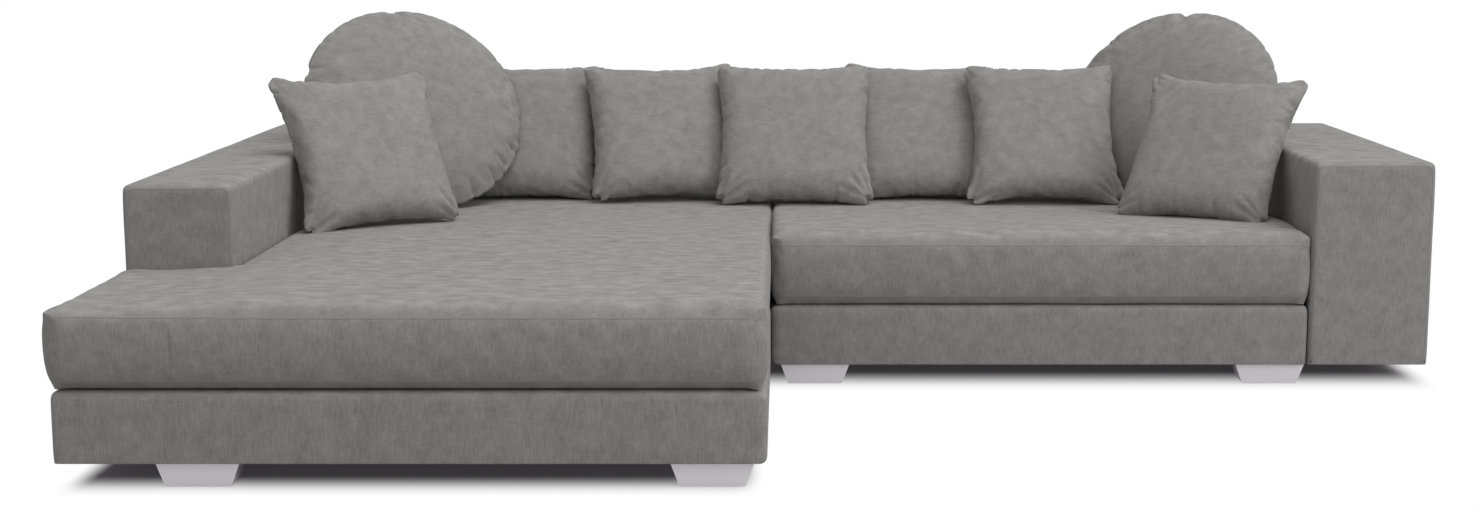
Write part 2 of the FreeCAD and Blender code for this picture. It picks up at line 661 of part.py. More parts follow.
def two_seat_cushion_radii(open_inset, tight_inset):
    """Corner radii of the two-seat cushion at one level."""
    wide = size("Sizes.cushion_corner_radius")
    tight = size("Sizes.cushion_tight_radius")
    return [wide, wide, tight, tight]


def two_seat_core_corners(inset):
    """Corners of the two-seat cushion's foam core, drawn in all round."""
    wall = size("Sizes.cushion_wall") + inset
    side = size("Sizes.cushion_side_gap") + wall
    left = size(SPLIT_RIGHT) + wall
    right = size(RIGHT_INNER) - side
    front = size(TWO_SEAT_FRONT) + wall
    rear = size(BACK_FRONT) - side
    return [(left, front), (right, front), (right, rear), (left, rear)]


# Scatter cushions. Height above the seam and outline size, as shares of the half thickness and of
# the outline, from the seam to the small flat crown
CROWN_SHARES = ((0, 1), (0.42, 0.91), (0.8, 0.66), (1, 0.3))
# The filling stays out of the seam and the ears
FILLING_SHARES = ((0, 0.9), (0.6, 0.66), (1, 0.2))
# How far the outline has turned from the drawn-in square to a round at the middle
ROUNDING_SHARE = 0.9
# Places of the row's cushions, as shares of the width between the arms and the split
CHAISE_ROW_SHARES = (0.4122, 0.7673)
TWO_SEAT_ROW_SHARES = (0.0496, 0.3188, 0.5693)
# Counts of straight pieces along half a square's side and round a circle
CASE_STEPS = 3
FILLING_STEPS = 1
CASE_SIDES = 32
FILLING_SIDES = 12


def both_faces(shares):
    """Levels from the back crown over the seam to the front crown."""
    back_half = [(-rise, spread) for rise, spread in reversed(shares[1:])]
    return back_half + list(shares)


def square_ring(half_side, steps, spread, level):
    """Points of a square cushion's outline at one level: sides drawn in, ears rounded off."""
    turned = (1 - spread) * ROUNDING_SHARE
    ring = []
    for side in range(4):
        for step in range(2 * steps):
            along = step / steps - 1
            draw_in = size("Sizes.square_draw_in") * (1 - along ** 2)
            reach = (half_side - draw_in) * math.hypot(1, along)
            if step == 0:
                reach = reach - size("Sizes.square_ear_radius") * (math.sqrt(2) - 1)
            reach = spread * (reach + turned * (half_side - reach))
            angle = side * math.pi / 2 + math.atan(along)
            ring.append(Vector(reach * math.cos(angle), reach * math.sin(angle), level))
    return ring


def round_ring(radius, sides, level):
    """Points of a round cushion's outline at one level."""
    turn = 2 * math.pi / sides
    return [Vector(radius * math.cos(turn * number), radius * math.sin(turn * number), level)
            for number in range(sides)]


def square_form(margin, steps, shares):
    """A square cushion's form, drawn in all round by a margin."""
    half_side = size("Sizes.square_side") / 2 - 2 * margin
    half_thickness = size("Sizes.square_thickness") / 2 - margin
    return faceted_form([square_ring(half_side, steps, spread, half_thickness * rise)
                         for rise, spread in both_faces(shares)])


def round_form(diameter, margin, sides, shares):
    """A round cushion's form, drawn in all round by a margin."""
    radius = size(diameter) / 2 - 2 * margin
    half_thickness = size("Sizes.round_thickness") / 2 - margin
    return faceted_form([round_ring(radius * spread, sides, half_thickness * rise)
                         for rise, spread in both_faces(shares)])


def stand(name, case, filling, reach, x, y, lean, turn):
    """Stand a cushion on its lower edge on the seat, leaning back and turned to the side."""
    tilt = FreeCAD.Rotation(Vector(1, 0, 0), 90 - lean)
    rotation = FreeCAD.Rotation(Vector(0, 0, 1), turn).multiply(tilt)
    up = rotation.multVec(Vector(0, 1, 0))
    centre = Vector(x, y, 0) + up * reach
    placed = case.copy()
    placed.Placement = FreeCAD.Placement(centre, rotation)
    lowest = placed.optimalBoundingBox(False, False).ZMin
    centre.z = centre.z + size("Sizes.seat_height + Sizes.cushion_clearance") - lowest
    for label, shape in ((name + "_case", case), (name + "_filling", filling)):
        item = doc.addObject("Part::Feature", label + "_form")
        item.Shape = shape
        item.Placement = FreeCAD.Placement(centre, rotation)
        keep(label, item)


def row_place(low, high, share):
    """The place of a cushion of the row between two planes, as an expression."""
    return "%s + %s * ((%s) - (%s))" % (low, share, high, low)


def scatter_cushions():
    """Seven square and two round cushions along the back and in the corners."""
    nothing = size(NOTHING)
    wall = size("Sizes.case_wall")
    slack = wall + size("Sizes.filling_clearance")
    square = square_form(nothing, CASE_STEPS, CROWN_SHARES)
    square = square.cut(square_form(wall, FILLING_STEPS, FILLING_SHARES))
    square_fill = square_form(slack, FILLING_STEPS, FILLING_SHARES)
    half_side = size("Sizes.square_side") / 2
    row_lean = "Sizes.row_lean_angle"
    row = [row_place(LEFT_INNER, SPLIT_LEFT, share) for share in CHAISE_ROW_SHARES]
    row += [row_place(SPLIT_LEFT, RIGHT_INNER, share) for share in TWO_SEAT_ROW_SHARES]
    squares = (
        ("square_cushion_1", LEFT_INNER + " + Sizes.square_1_from_arm", "Sizes.square_1_from_back",
         "Sizes.square_1_lean_angle", "Sizes.square_1_turn_angle"),
        ("square_cushion_2", row[0], "Sizes.square_2_from_back", row_lean, NOTHING),
        ("square_cushion_3", row[1], "Sizes.square_3_from_back", row_lean,
         "Sizes.square_3_turn_angle"),
        ("square_cushion_4", row[2], "Sizes.square_4_from_back", row_lean, NOTHING),
        ("square_cushion_5", row[3], "Sizes.square_5_from_back", row_lean, NOTHING),
        ("square_cushion_6", row[4], "Sizes.square_6_from_back", row_lean, NOTHING),
        ("square_cushion_7", RIGHT_INNER + " - Sizes.square_7_from_arm", "Sizes.square_7_from_back",
         "Sizes.square_7_lean_angle", "Sizes.square_7_turn_angle"),
    )
    for name, across, before_back, lean, turn in squares:
        stand(name, square, square_fill, half_side, size(across),
              size(BACK_FRONT + " - " + before_back), size(lean), size(turn))
    rounds = (
        ("round_cushion_left", "Sizes.round_left_diameter",
         LEFT_INNER + " + Sizes.round_left_from_arm", "Sizes.round_left_from_back",
         "Sizes.round_left_lean_angle", "Sizes.round_left_turn_angle"),
        ("round_cushion_right", "Sizes.round_right_diameter",
         RIGHT_INNER + " - Sizes.round_right_from_arm", "Sizes.round_right_from_back",
         "Sizes.round_right_lean_angle", "Sizes.round_right_turn_angle"),
    )
    for name, diameter, across, before_back, lean, turn in rounds:
        case = round_form(diameter, nothing, CASE_SIDES, CROWN_SHARES)
        case = case.cut(round_form(diameter, wall, FILLING_SIDES, FILLING_SHARES))
        filling = round_form(diameter, slack, FILLING_SIDES, FILLING_SHARES)
        stand(name, case, filling, size(diameter) / 2, size(across),
              size(BACK_FRONT + " - " + before_back), size(lean), size(turn))


def build():
    """Every piece of the sofa."""
    chaise_rails()
    seat_webbing("chaise", LEFT_INNER + " + " + WALL, SPLIT_LEFT + " - " + WALL,
                 FRONT + " + " + WALL, BACK_FRONT + " - " + WALL,
                 wide_from=(LEFT_ARM_FRONT, LEFT + " + " + WALL))
    seat_deck("chaise", chaise_outline, LEFT_ARM_FRONT)
    two_seat_rails()
    seat_webbing("two_seat", SPLIT_RIGHT + " + " + WALL, RIGHT_INNER + " - " + WALL,
                 TWO_SEAT_FRONT + " + " + WALL, BACK_FRONT + " - " + WALL)
    seat_deck("two_seat", two_seat_outline, BACK_FRONT)
    arm("left_arm", LEFT, LEFT_INNER, LEFT_ARM_FRONT)
    arm("right_arm", RIGHT_INNER, RIGHT, TWO_SEAT_FRONT)
    chaise_rear = places(CHAISE_FEET_X, REAR_FEET_Y)
    two_seat_rear = places(TWO_SEAT_FEET_X, REAR_FEET_Y)
    chaise_front = places(CHAISE_FEET_X, CHAISE_FRONT_FEET_Y)
    two_seat_front = places(TWO_SEAT_FEET_X, TWO_SEAT_FRONT_FEET_Y)
    back("chaise_back", LEFT_INNER, SPLIT_LEFT, chaise_rear)
    back("two_seat_back", SPLIT_RIGHT, RIGHT_INNER, two_seat_rear)
    feet("chaise", chaise_front + chaise_rear)
    feet("two_seat", two_seat_front + two_seat_rear)
    keep("front_foot_blocks", group("foot_block_set", foot_blocks("chaise", chaise_front)
                                    + foot_blocks("two_seat", two_seat_front)))
    spots = chaise_front + chaise_rear + two_seat_front + two_seat_rear
    low = "Sizes.underside_height - Sizes.bolt_in_foot"
    keep("foot_bolts", group("foot_bolt_set", [
        rod("foot_bolt_%d" % number, x, y, low, "Sizes.bolt_radius",
            "Sizes.bolt_in_foot + Sizes.bolt_in_board") for number, (x, y) in enumerate(spots)]))
    pads = []
    for number, (x, y) in enumerate(spots):
        across = "(Sizes.foot_width_bottom - Sizes.pad_margin * 2)"
        deep = "(Sizes.foot_depth - Sizes.pad_margin * 2)"
        pads.append(block("foot_pad_%d" % number,
                          ("%s - %s / 2" % (x, across), "%s - %s / 2" % (y, deep), NOTHING),
                          (across, deep, "Sizes.pad_thickness")))
    keep("foot_pads", group("foot_pad_set", pads))
    dust_cover("chaise", chaise_outline, [(LEFT, LEFT_INNER, LEFT_ARM_FRONT, REAR),
                                          (LEFT_INNER, SPLIT_LEFT, BACK_FRONT, REAR)],
               chaise_front + chaise_rear)
    dust_cover("two_seat", two_seat_outline, [(RIGHT_INNER, RIGHT, TWO_SEAT_FRONT, REAR),
                                              (SPLIT_RIGHT, RIGHT_INNER, BACK_FRONT, REAR)],
               two_seat_front + two_seat_rear)
    links()
    seat_cushion("chaise_cushion", chaise_cushion_corners, chaise_cushion_radii, chaise_core_corners)
    seat_cushion("two_seat_cushion", two_seat_cushion_corners, two_seat_cushion_radii,
                 two_seat_core_corners)
    scatter_cushions()


build()
doc.recompute()

for item in doc.Objects:
    if "Invalid" in item.State or "Error" in item.State:
        raise ValueError("%s did not build" % item.Name)
for label, item in nodes.items():
    if item.Shape.isNull() or not item.Shape.isValid():
        raise ValueError("%s has no sound shape" % label)
    item.Shape.exportStep("parts/%s.step" % label)
print("%d pieces written" % len(nodes))
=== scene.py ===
import json
import math

import bpy
import numpy as np
from bpy.props import FloatProperty, FloatVectorProperty, IntProperty, PointerProperty
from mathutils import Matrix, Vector, noise
from mathutils.bvhtree import BVHTree

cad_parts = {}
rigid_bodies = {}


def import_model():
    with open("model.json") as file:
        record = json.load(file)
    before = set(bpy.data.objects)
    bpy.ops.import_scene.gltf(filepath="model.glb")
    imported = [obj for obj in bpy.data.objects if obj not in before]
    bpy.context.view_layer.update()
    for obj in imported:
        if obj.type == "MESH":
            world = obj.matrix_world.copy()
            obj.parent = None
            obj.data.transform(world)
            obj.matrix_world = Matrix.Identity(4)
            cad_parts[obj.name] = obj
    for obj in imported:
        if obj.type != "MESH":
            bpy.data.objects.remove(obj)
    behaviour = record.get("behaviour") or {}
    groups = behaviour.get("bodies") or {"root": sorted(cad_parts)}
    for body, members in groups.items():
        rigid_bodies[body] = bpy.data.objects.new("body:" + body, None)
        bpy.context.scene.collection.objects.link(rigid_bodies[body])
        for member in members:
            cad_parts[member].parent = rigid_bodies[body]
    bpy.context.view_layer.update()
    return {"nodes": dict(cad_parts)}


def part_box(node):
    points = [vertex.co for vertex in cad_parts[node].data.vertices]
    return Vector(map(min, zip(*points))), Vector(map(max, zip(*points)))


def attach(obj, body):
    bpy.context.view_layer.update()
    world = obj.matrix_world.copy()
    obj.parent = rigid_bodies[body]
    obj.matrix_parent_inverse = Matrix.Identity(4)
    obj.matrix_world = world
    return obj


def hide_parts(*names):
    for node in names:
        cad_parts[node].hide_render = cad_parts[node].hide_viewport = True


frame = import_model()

bl_info = {
    "name": "Corner Sofa",
    "version": (1, 0, 0),
    "blender": (4, 5, 0),
    "location": "View3D > Sidebar > Corner Sofa",
    "description": "Dresses the corner sofa's frame in cloth, cushions, wood and metal",
    "category": "Object",
}

MM = 0.001
SAME = 1e-6  # metres within which two places count as one
ZERO = 1e-9  # metres below which a distance has no direction


def linear(code):
    """Linear colour of an sRGB hex value."""
    parts = [int(code[at:at + 2], 16) / 255 for at in (0, 2, 4)]
    return tuple(part / 12.92 if part <= 0.04045 else ((part + 0.055) / 1.055) ** 2.4
                 for part in parts)


def colour_property(label, words, code):
    """A colour that a user can change, from a hex value."""
    return FloatVectorProperty(name=label, description=words, subtype="COLOR", size=3,
                               min=0, max=1, default=linear(code))


def length_property(label, words, value):
    """A length in metres that a user can change."""
    return FloatProperty(name=label, description=words, unit="LENGTH", default=value,
                         min=0, max=5, precision=4)


class SofaSizes(bpy.types.PropertyGroup):
    """Sizes of the upholstery that a user may change."""
    block_radius: length_property("Arm rounding", "Rounding of the arms' and backs' edges", 0.0185)
    base_radius: length_property("Base rounding", "Rounding of the bases' top edges", 0.02)
    block_softness: length_property(
        "Block softness", "How far a tight cover falls towards its edges", 0.002)
    softness_run: length_property("Softness run", "How far in from an edge that fall begins", 0.075)
    split_swell: length_property(
        "Split swell", "How far the modules swell towards each other", 0.0048)
    block_ripple: length_property("Block ripple", "How far the tight covers wander", 0.001)
    corner_radius: length_property(
        "Cushion corner", "Rounding of the seat cushions' corners", 0.036)
    crown_run: length_property("Crown run", "How far in the open edges' roll reaches", 0.03)
    tight_run: length_property("Tight crown run", "The same beside an arm or a back", 0.016)
    crown_rise: length_property("Crown rise", "Height of the seat over the upper seam", 0.018)
    crown_fullness: length_property(
        "Crown fullness", "How far the middle stands above the seat", 0.021)
    lower_seam_rise: length_property("Lower seam", "Height of the lower seam over the deck", 0.024)
    front_bulge: length_property("Front bulge", "How far the open sides swell", 0.013)
    split_bulge: length_property(
        "Split bulge", "How far the cushions swell towards each other", 0.0048)
    bottom_tuck: length_property("Bottom tuck", "How far the open lower edge is drawn in", 0.024)
    bottom_lift: length_property("Bottom lift", "How far the open lower edge curls up", 0.002)
    seat_swell: length_property("Seat swell", "Most that a point moves in the simulation", 0.004)
    seam_width: length_property("Seam width", "Width of a seat cushion's felled seam", 0.0065)
    seam_rise: length_property("Seam rise", "How far a felled seam stands proud", 0.0005)
    scatter_cloth: length_property(
        "Scatter cloth", "Half side of a square cushion's cut cloth", 0.264)
    scatter_cells: IntProperty(
        name="Scatter cells", description="Cells along a scatter cushion's side",
        default=44, min=12, max=80)


class SofaColours(bpy.types.PropertyGroup):
    """Colours of the finishes that a user may change."""
    cloth_light: colour_property("Cloth, light", "Pile lying towards the light", "A6A4A2")
    cloth_dark: colour_property("Cloth, dark", "Pile lying away from the light", "7E7C7A")
    seam: colour_property("Seam", "Thread and shaded groove of a seam", "8B8987")
    foot: colour_property("Foot", "Satin silver of the feet", "E3DFE3")
    softwood: colour_property("Softwood", "Planed rails and boards", "C9A26E")
    hardboard: colour_property("Hardboard", "Sheets inside the arms", "7A5A3C")
    foam: colour_property("Foam", "Upholstery foam", "E6DDB8")
    black_cloth: colour_property("Under-cloth", "Black cloth below the bases", "1C1C1C")


def sizes():
    """The scene's sofa sizes."""
    return bpy.context.scene.sofa_sizes


def colours():
    """The scene's sofa colours."""
    return bpy.context.scene.sofa_colours


# Materials

# Repeats of the cloth's streaks in X, Y and Z in mm, with their noise's detail and roughness: the
# warp down the upright faces, the pile's lie on the level ones, and the weft across. All are
# drawn coarser than real threads, so that they show.
PILE_STREAKS = (((4, 4, 28), 3.0, 0.6), ((60, 22, 60), 2.0, 0.4), ((24, 24, 5), 3.0, 0.6))
NAP_MM = 2.6  # coarser than the real 0.5 mm, so that it shows
NAP_SHARE = 0.5
STITCH_MM = 3.5
STITCH_HOLE = 0.72  # share of a stitch at which its hole begins
THREAD_AND_SHADE_ROWS = (0.3, 0.42)  # where the thread and its painted shade begin and are full, in widths from the middle
WAVE_TURN = 6.28  # radians in a turn


def add(holder, kind, settings=None, links=None):
    """Add a shader node to a material or world, with its settings and incoming links. A link from
    a node itself leaves it at its first output."""
    tree = holder.node_tree
    node = tree.nodes.new("ShaderNode" + kind)
    for name, value in (settings or {}).items():
        if isinstance(name, str) and hasattr(node, name):
            setattr(node, name, value)
        else:
            node.inputs[name].default_value = value
    for name, source in (links or {}).items():
        if isinstance(source, bpy.types.Node):
            source = source.outputs[0]
        tree.links.new(source, node.inputs[name])
    return node


def blank(name):
    """A material with no nodes."""
    material = bpy.data.materials.get(name) or bpy.data.materials.new(name)
    material.use_nodes = True
    material.node_tree.nodes.clear()
    return material


def close(material, shader):
    """Link a shader to the material's output."""
    add(material, "OutputMaterial", links={"Surface": shader})


def rgba(colour):
    """A colour with full alpha."""
    return (colour[0], colour[1], colour[2], 1.0)


def per_metre(x_mm, y_mm, z_mm):
    """Mapping scale whose pattern repeats over these millimetres."""
    return (1 / (x_mm * MM), 1 / (y_mm * MM), 1 / (z_mm * MM))


def pile_cloth(name, patch_mm, contrast, patch_share, weft_share):
    """Woven cloth with a short brushed pile: streaks, a weft across them, patches where the pile
    lies another way, and a nap."""
    material = blank(name)
    place = add(material, "TexCoord").outputs["Object"]
    streak, lying, weft = [
        add(material, "TexNoise", {"Scale": 1.0, "Detail": detail, "Roughness": roughness},
            {"Vector": add(material, "Mapping", {"Scale": per_metre(*repeat)},
                           {"Vector": place})})
        for repeat, detail, roughness in PILE_STREAKS]
    normal = add(material, "NewGeometry").outputs["Normal"]
    axes = add(material, "SeparateXYZ", links={0: normal})
    level = add(material, "Math", {"operation": "ABSOLUTE"}, {0: axes.outputs["Z"]})
    flat = add(material, "Math", {"operation": "POWER", 1: 2.0}, {0: level})
    warp = add(material, "Mix", {"data_type": "FLOAT"}, {0: flat, 2: streak, 3: lying})
    grain = add(material, "Mix", {"data_type": "FLOAT", 0: weft_share}, {2: warp, 3: weft})
    patch = add(material, "TexNoise",
                {"Scale": 1 / (patch_mm * MM), "Detail": 2.0, "Roughness": 0.5,
                 "Distortion": 0.4}, {"Vector": place})
    nap = add(material, "TexNoise",
              {"Scale": 1 / (NAP_MM * MM), "Detail": 2.0, "Roughness": 0.7}, {"Vector": place})
    both = add(material, "Math", {"operation": "MULTIPLY_ADD", 1: patch_share},
               {0: patch, 2: grain})
    three = add(material, "Math", {"operation": "MULTIPLY_ADD", 1: NAP_SHARE}, {0: nap, 2: both})
    middle = (1 + NAP_SHARE + patch_share) / 2
    spread = add(material, "Math",
                 {"operation": "MULTIPLY_ADD", 1: contrast, 2: 0.5 - contrast * middle,
                  "use_clamp": True}, {0: three})
    tone = add(material, "Mix",
               {"data_type": "RGBA", 6: rgba(colours().cloth_dark),
                7: rgba(colours().cloth_light)}, {0: spread})
    bump = add(material, "Bump", {"Strength": 0.2, "Distance": 0.5 * MM}, {"Height": nap})
    close(material, add(material, "BsdfPrincipled",
                        {"Roughness": 0.95, "Sheen Weight": 0.06, "Sheen Roughness": 0.5,
                         "Specular IOR Level": 0.2},
                        {"Base Color": tone.outputs[2], "Normal": bump}))


def seam_cloth(name):
    """The cloth of a felled seam between its two rows of stitches, on the seam's own UV map. Its
    edges take the seam colour, for the thread and painted shade in the sunk edges, and each
    stitch's hole is darkened a little, as painted shade.
    """
    material = blank(name)
    axes = add(material, "SeparateXYZ", links={0: add(material, "TexCoord").outputs["UV"]})
    along = add(material, "Math", {"operation": "MULTIPLY", 1: 1 / (STITCH_MM * MM)},
                {0: axes.outputs["X"]})
    stitch = add(material, "Math", {"operation": "FRACT"}, {0: along})
    hole = add(material, "Math", {"operation": "GREATER_THAN", 1: STITCH_HOLE}, {0: stitch})
    middle = add(material, "Math", {"operation": "SUBTRACT", 1: 0.5}, {0: axes.outputs["Y"]})
    off = add(material, "Math", {"operation": "ABSOLUTE"}, {0: middle})
    row = add(material, "MapRange", {"From Min": THREAD_AND_SHADE_ROWS[0], "From Max": THREAD_AND_SHADE_ROWS[1]},
              {"Value": off})
    # Painted shade: the thread rows at the edges and each stitch hole darken towards the seam
    # colour, for the thread and the shade in those hollows
    dark = add(material, "Math", {"operation": "MULTIPLY_ADD", 1: 0.35, "use_clamp": True},
               {0: hole, 2: row})
    cloth = [(a + b) / 2 for a, b in zip(colours().cloth_dark, colours().cloth_light)]
    tone = add(material, "Mix", {"data_type": "RGBA", 6: rgba(cloth), 7: rgba(colours().seam)},
               {0: dark})
    close(material, add(material, "BsdfPrincipled",
                        {"Roughness": 0.95, "Sheen Weight": 0.1, "Specular IOR Level": 0.2},
                        {"Base Color": tone.outputs[2]}))


def grained(name, colour, scale_mm, stretch, roughness, depth, shade, specular=0.5, metallic=0.0):
    """A finish with a grain: noise in the colour, stretched along an axis, and a fine relief."""
    material = blank(name)
    place = add(material, "TexCoord").outputs["Object"]
    mapping = add(material, "Mapping",
                  {"Scale": per_metre(*[scale_mm * share for share in stretch])},
                  {"Vector": place})
    grain = add(material, "TexNoise", {"Scale": 1.0, "Detail": 4.0, "Roughness": 0.6},
                {"Vector": mapping})
    tone = add(material, "Mix", {"data_type": "RGBA", 6: rgba([part * shade for part in colour]),
                                 7: rgba(colour)}, {0: grain})
    bump = add(material, "Bump", {"Strength": depth, "Distance": 0.3 * MM}, {"Height": grain})
    close(material, add(material, "BsdfPrincipled",
                        {"Roughness": roughness, "Metallic": metallic,
                         "Specular IOR Level": specular},
                        {"Base Color": tone.outputs[2], "Normal": bump}))


def banded(name, colour, rib_mm):
    """Woven elastic band: ribs across its width."""
    material = blank(name)
    place = add(material, "TexCoord").outputs["Object"]
    rib = add(material, "TexWave",
              {"wave_type": "BANDS", "bands_direction": "DIAGONAL",
               "Scale": 1 / (rib_mm * MM) / WAVE_TURN, "Distortion": 0.4},
              {"Vector": place}).outputs["Fac"]
    tone = add(material, "Mix", {"data_type": "RGBA", 6: rgba([part * 0.6 for part in colour]),
                                 7: rgba(colour)}, {0: rib})
    bump = add(material, "Bump", {"Strength": 0.3, "Distance": 0.4 * MM}, {"Height": rib})
    close(material, add(material, "BsdfPrincipled", {"Roughness": 0.9},
                        {"Base Color": tone.outputs[2], "Normal": bump}))


def wear(item, finish):
    """Give an object one material."""
    item.data.materials.clear()
    item.data.materials.append(bpy.data.materials[finish])


# Meshes

EDGE_SHARES = (0, 0.12, 0.3, 0.62, 1, 1.6)  # grid lines beside an edge, in shares of its reach
LEAST_SHARE = 0.1  # of the reach between two grid lines
NOISE_SHIFT = (7.3, 3.1, 5.7)  # how far one step of a piece's seed moves its noise
NOISE_SEED = 7  # 0 would stand for the clock


def deselect():
    """Deselect every object."""
    for item in bpy.context.view_layer.objects:
        item.select_set(False)


def mesh_object(name, points, faces):
    """A new object from points in metres and faces."""
    mesh = bpy.data.meshes.new(name)
    mesh.from_pydata([tuple(point) for point in points], [], faces)
    mesh.update()
    item = bpy.data.objects.new(name, mesh)
    bpy.context.scene.collection.objects.link(item)
    return item


def points_of(mesh):
    """A mesh's vertices as an array."""
    values = np.zeros(len(mesh.vertices) * 3)
    mesh.vertices.foreach_get("co", values)
    return values.reshape(-1, 3)


def set_points(mesh, points):
    """Move a mesh's vertices."""
    mesh.vertices.foreach_set("co", np.asarray(points, float).ravel())
    mesh.update()


def smooth_finish(item):
    """Subdivide an object once and shade it smooth."""
    modifier = item.modifiers.new("fullness", "SUBSURF")
    modifier.levels = modifier.render_levels = 1
    deselect()
    item.select_set(True)
    bpy.context.view_layer.objects.active = item
    bpy.ops.object.modifier_apply(modifier=modifier.name)
    item.data.polygons.foreach_set("use_smooth", [True] * len(item.data.polygons))


def upholster(item, body, nodes, material):
    """Give a piece its material and its body, and hide the CAD nodes that it stands for."""
    wear(item, material)
    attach(item, body)
    if nodes:
        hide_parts(*nodes)


def grid_lines(low, high, marks, reach, cell):
    """Grid lines between two planes, close together near the marks."""
    found = {low, high}
    for mark in marks:
        for share in EDGE_SHARES:
            for side in (-1, 1):
                spot = mark + side * share * reach
                if low - SAME < spot < high + SAME:
                    found.add(spot)
    kept = [min(found)]
    for spot in sorted(found)[1:]:
        if spot - kept[-1] > LEAST_SHARE * reach:
            kept.append(spot)
    kept[-1] = high
    filled = [kept[0]]
    for spot in kept[1:]:
        steps = max(1, math.ceil((spot - filled[-1]) / cell - SAME))
        start = filled[-1]
        filled += [start + (spot - start) * step / steps for step in range(1, steps + 1)]
    return filled


def slab_skin(areas, low, high, reach, cell, rise_lines=None):
    """Closed skin of quads round a slab whose plan is one or more rectangles."""
    xs = grid_lines(min(a[0] for a in areas), max(a[1] for a in areas),
                    [v for a in areas for v in a[:2]], reach, cell)
    ys = grid_lines(min(a[2] for a in areas), max(a[3] for a in areas),
                    [v for a in areas for v in a[2:]], reach, cell)
    zs = rise_lines or grid_lines(low, high, [low, high], reach, cell)
    inside = {(i, j) for i in range(len(xs) - 1) for j in range(len(ys) - 1)
              if any(a[0] < (xs[i] + xs[i + 1]) / 2 < a[1]
                     and a[2] < (ys[j] + ys[j + 1]) / 2 < a[3] for a in areas)}
    points, index, faces = [], {}, []

    def corner(i, j, k):
        """Number of the point at a crossing of grid lines."""
        if (i, j, k) not in index:
            index[i, j, k] = len(points)
            points.append((xs[i], ys[j], zs[k]))
        return index[i, j, k]

    last = len(zs) - 1
    for i, j in sorted(inside):
        round_cell = ((i, j), (i + 1, j), (i + 1, j + 1), (i, j + 1))
        faces.append([corner(*spot, last) for spot in round_cell])
        faces.append([corner(*spot, 0) for spot in reversed(round_cell)])
        beside = ((i, j - 1), (i + 1, j), (i, j + 1), (i - 1, j))
        for turn, other in enumerate(beside):
            if other not in inside:
                start, end = round_cell[turn], round_cell[(turn + 1) % 4]
                for k in range(last):
                    faces.append([corner(*start, k), corner(*end, k), corner(*end, k + 1),
                                  corner(*start, k + 1)])
    return np.array(points), faces


def nearest_inside(points, areas, radius):
    """For each point, the nearest point of the plan drawn in by a radius, and how far it is."""
    best = None
    for x_low, x_high, y_low, y_high in areas:
        spot = np.stack([np.clip(points[:, 0], x_low + radius, x_high - radius),
                         np.clip(points[:, 1], y_low + radius, y_high - radius)], axis=1)
        gap = np.linalg.norm(points[:, :2] - spot, axis=1)
        if best is None:
            best = (spot, gap)
        else:
            nearer = gap < best[1]
            best = (np.where(nearer[:, None], spot, best[0]), np.where(nearer, gap, best[1]))
    return best


def wander(points, amount, scale, seed):
    """Soft unevenness in three directions at each point, the same in each run."""
    noise.seed_set(NOISE_SEED)
    shift = Vector([seed * part for part in NOISE_SHIFT])
    return np.array([noise.noise_vector(Vector(point) * scale + shift)
                     for point in points]) * amount


def rim_distance(points, areas):
    """Distance of each point from the rim of a plan."""
    return np.max([np.min([points[:, 0] - a[0], a[1] - points[:, 0], points[:, 1] - a[2],
                           a[3] - points[:, 1]], axis=0) for a in areas], axis=0)


# Seams

SEAM_EDGE, SEAM_FOOT = -0.6 * MM, -2 * MM  # how deep a seam's edges and underside are sunk
OUTLINE_STEP = 0.012
OUTLINE_TURNS = 6  # runs of the line round a corner


def seam(name, item, path, closed, body, width=None):
    """A felled seam with its stitches, laid on an object's surface along a path."""
    width = width or sizes().seam_width
    rise = sizes().seam_rise
    mesh = item.data
    tree = BVHTree.FromPolygons([vertex.co.copy() for vertex in mesh.vertices],
                                [tuple(face.vertices) for face in mesh.polygons])
    spots, normals = zip(*[tree.find_nearest(point)[:2] for point in path])
    # Two ridges with a groove between them: across in widths, up in metres
    section = ((-0.5, SEAM_EDGE), (-0.36, rise * 0.9), (-0.2, rise), (0, rise * 0.35),
               (0.2, rise), (0.36, rise * 0.9), (0.5, SEAM_EDGE), (0.3, SEAM_FOOT),
               (-0.3, SEAM_FOOT))
    count, size = len(spots), len(section)
    points, marks, run = [], [], 0.0
    for at in range(count):
        before = spots[at - 1] if at or closed else spots[at]
        after = spots[(at + 1) % count] if at < count - 1 or closed else spots[at]
        along = (after - before).normalized()
        near = [(at + step) % count if closed else min(max(at + step, 0), count - 1)
                for step in (-1, 0, 1)]
        up = sum((normals[spot] for spot in near), Vector()).normalized()
        side = along.cross(up).normalized()
        up = side.cross(along).normalized()
        points += [spots[at] + side * across * width + up * lift for across, lift in section]
        if at:
            run += (spots[at] - spots[at - 1]).length
        marks.append(run)
    faces, face_marks = [], []
    for at in range(count if closed else count - 1):
        after = (at + 1) % count
        start, end = marks[at], marks[after]
        if after == 0:
            end = marks[-1] + (spots[0] - spots[-1]).length
        for turn in range(size):
            other = (turn + 1) % size
            faces.append((at * size + turn, after * size + turn, after * size + other,
                          at * size + other))
            low, high = section[turn][0] + 0.5, section[other][0] + 0.5
            face_marks.append(((start, low), (end, low), (end, high), (start, high)))
    if not closed:
        faces.append(tuple(range(size)))
        faces.append(tuple((count - 1) * size + turn for turn in reversed(range(size))))
    made = mesh_object(name, points, faces)
    layer = made.data.uv_layers.new(name="seam")
    for face, values in zip(made.data.polygons, face_marks):
        for loop, value in zip(face.loop_indices, values):
            layer.data[loop].uv = value
    made.data.polygons.foreach_set("use_smooth", [True] * len(faces))
    upholster(made, body, (), "felled_seam")


def between(start, end):
    """Points between two others, about a step apart."""
    pieces = max(1, int((end - start).length / OUTLINE_STEP))
    return [start + (end - start) * part / pieces for part in range(1, pieces)]


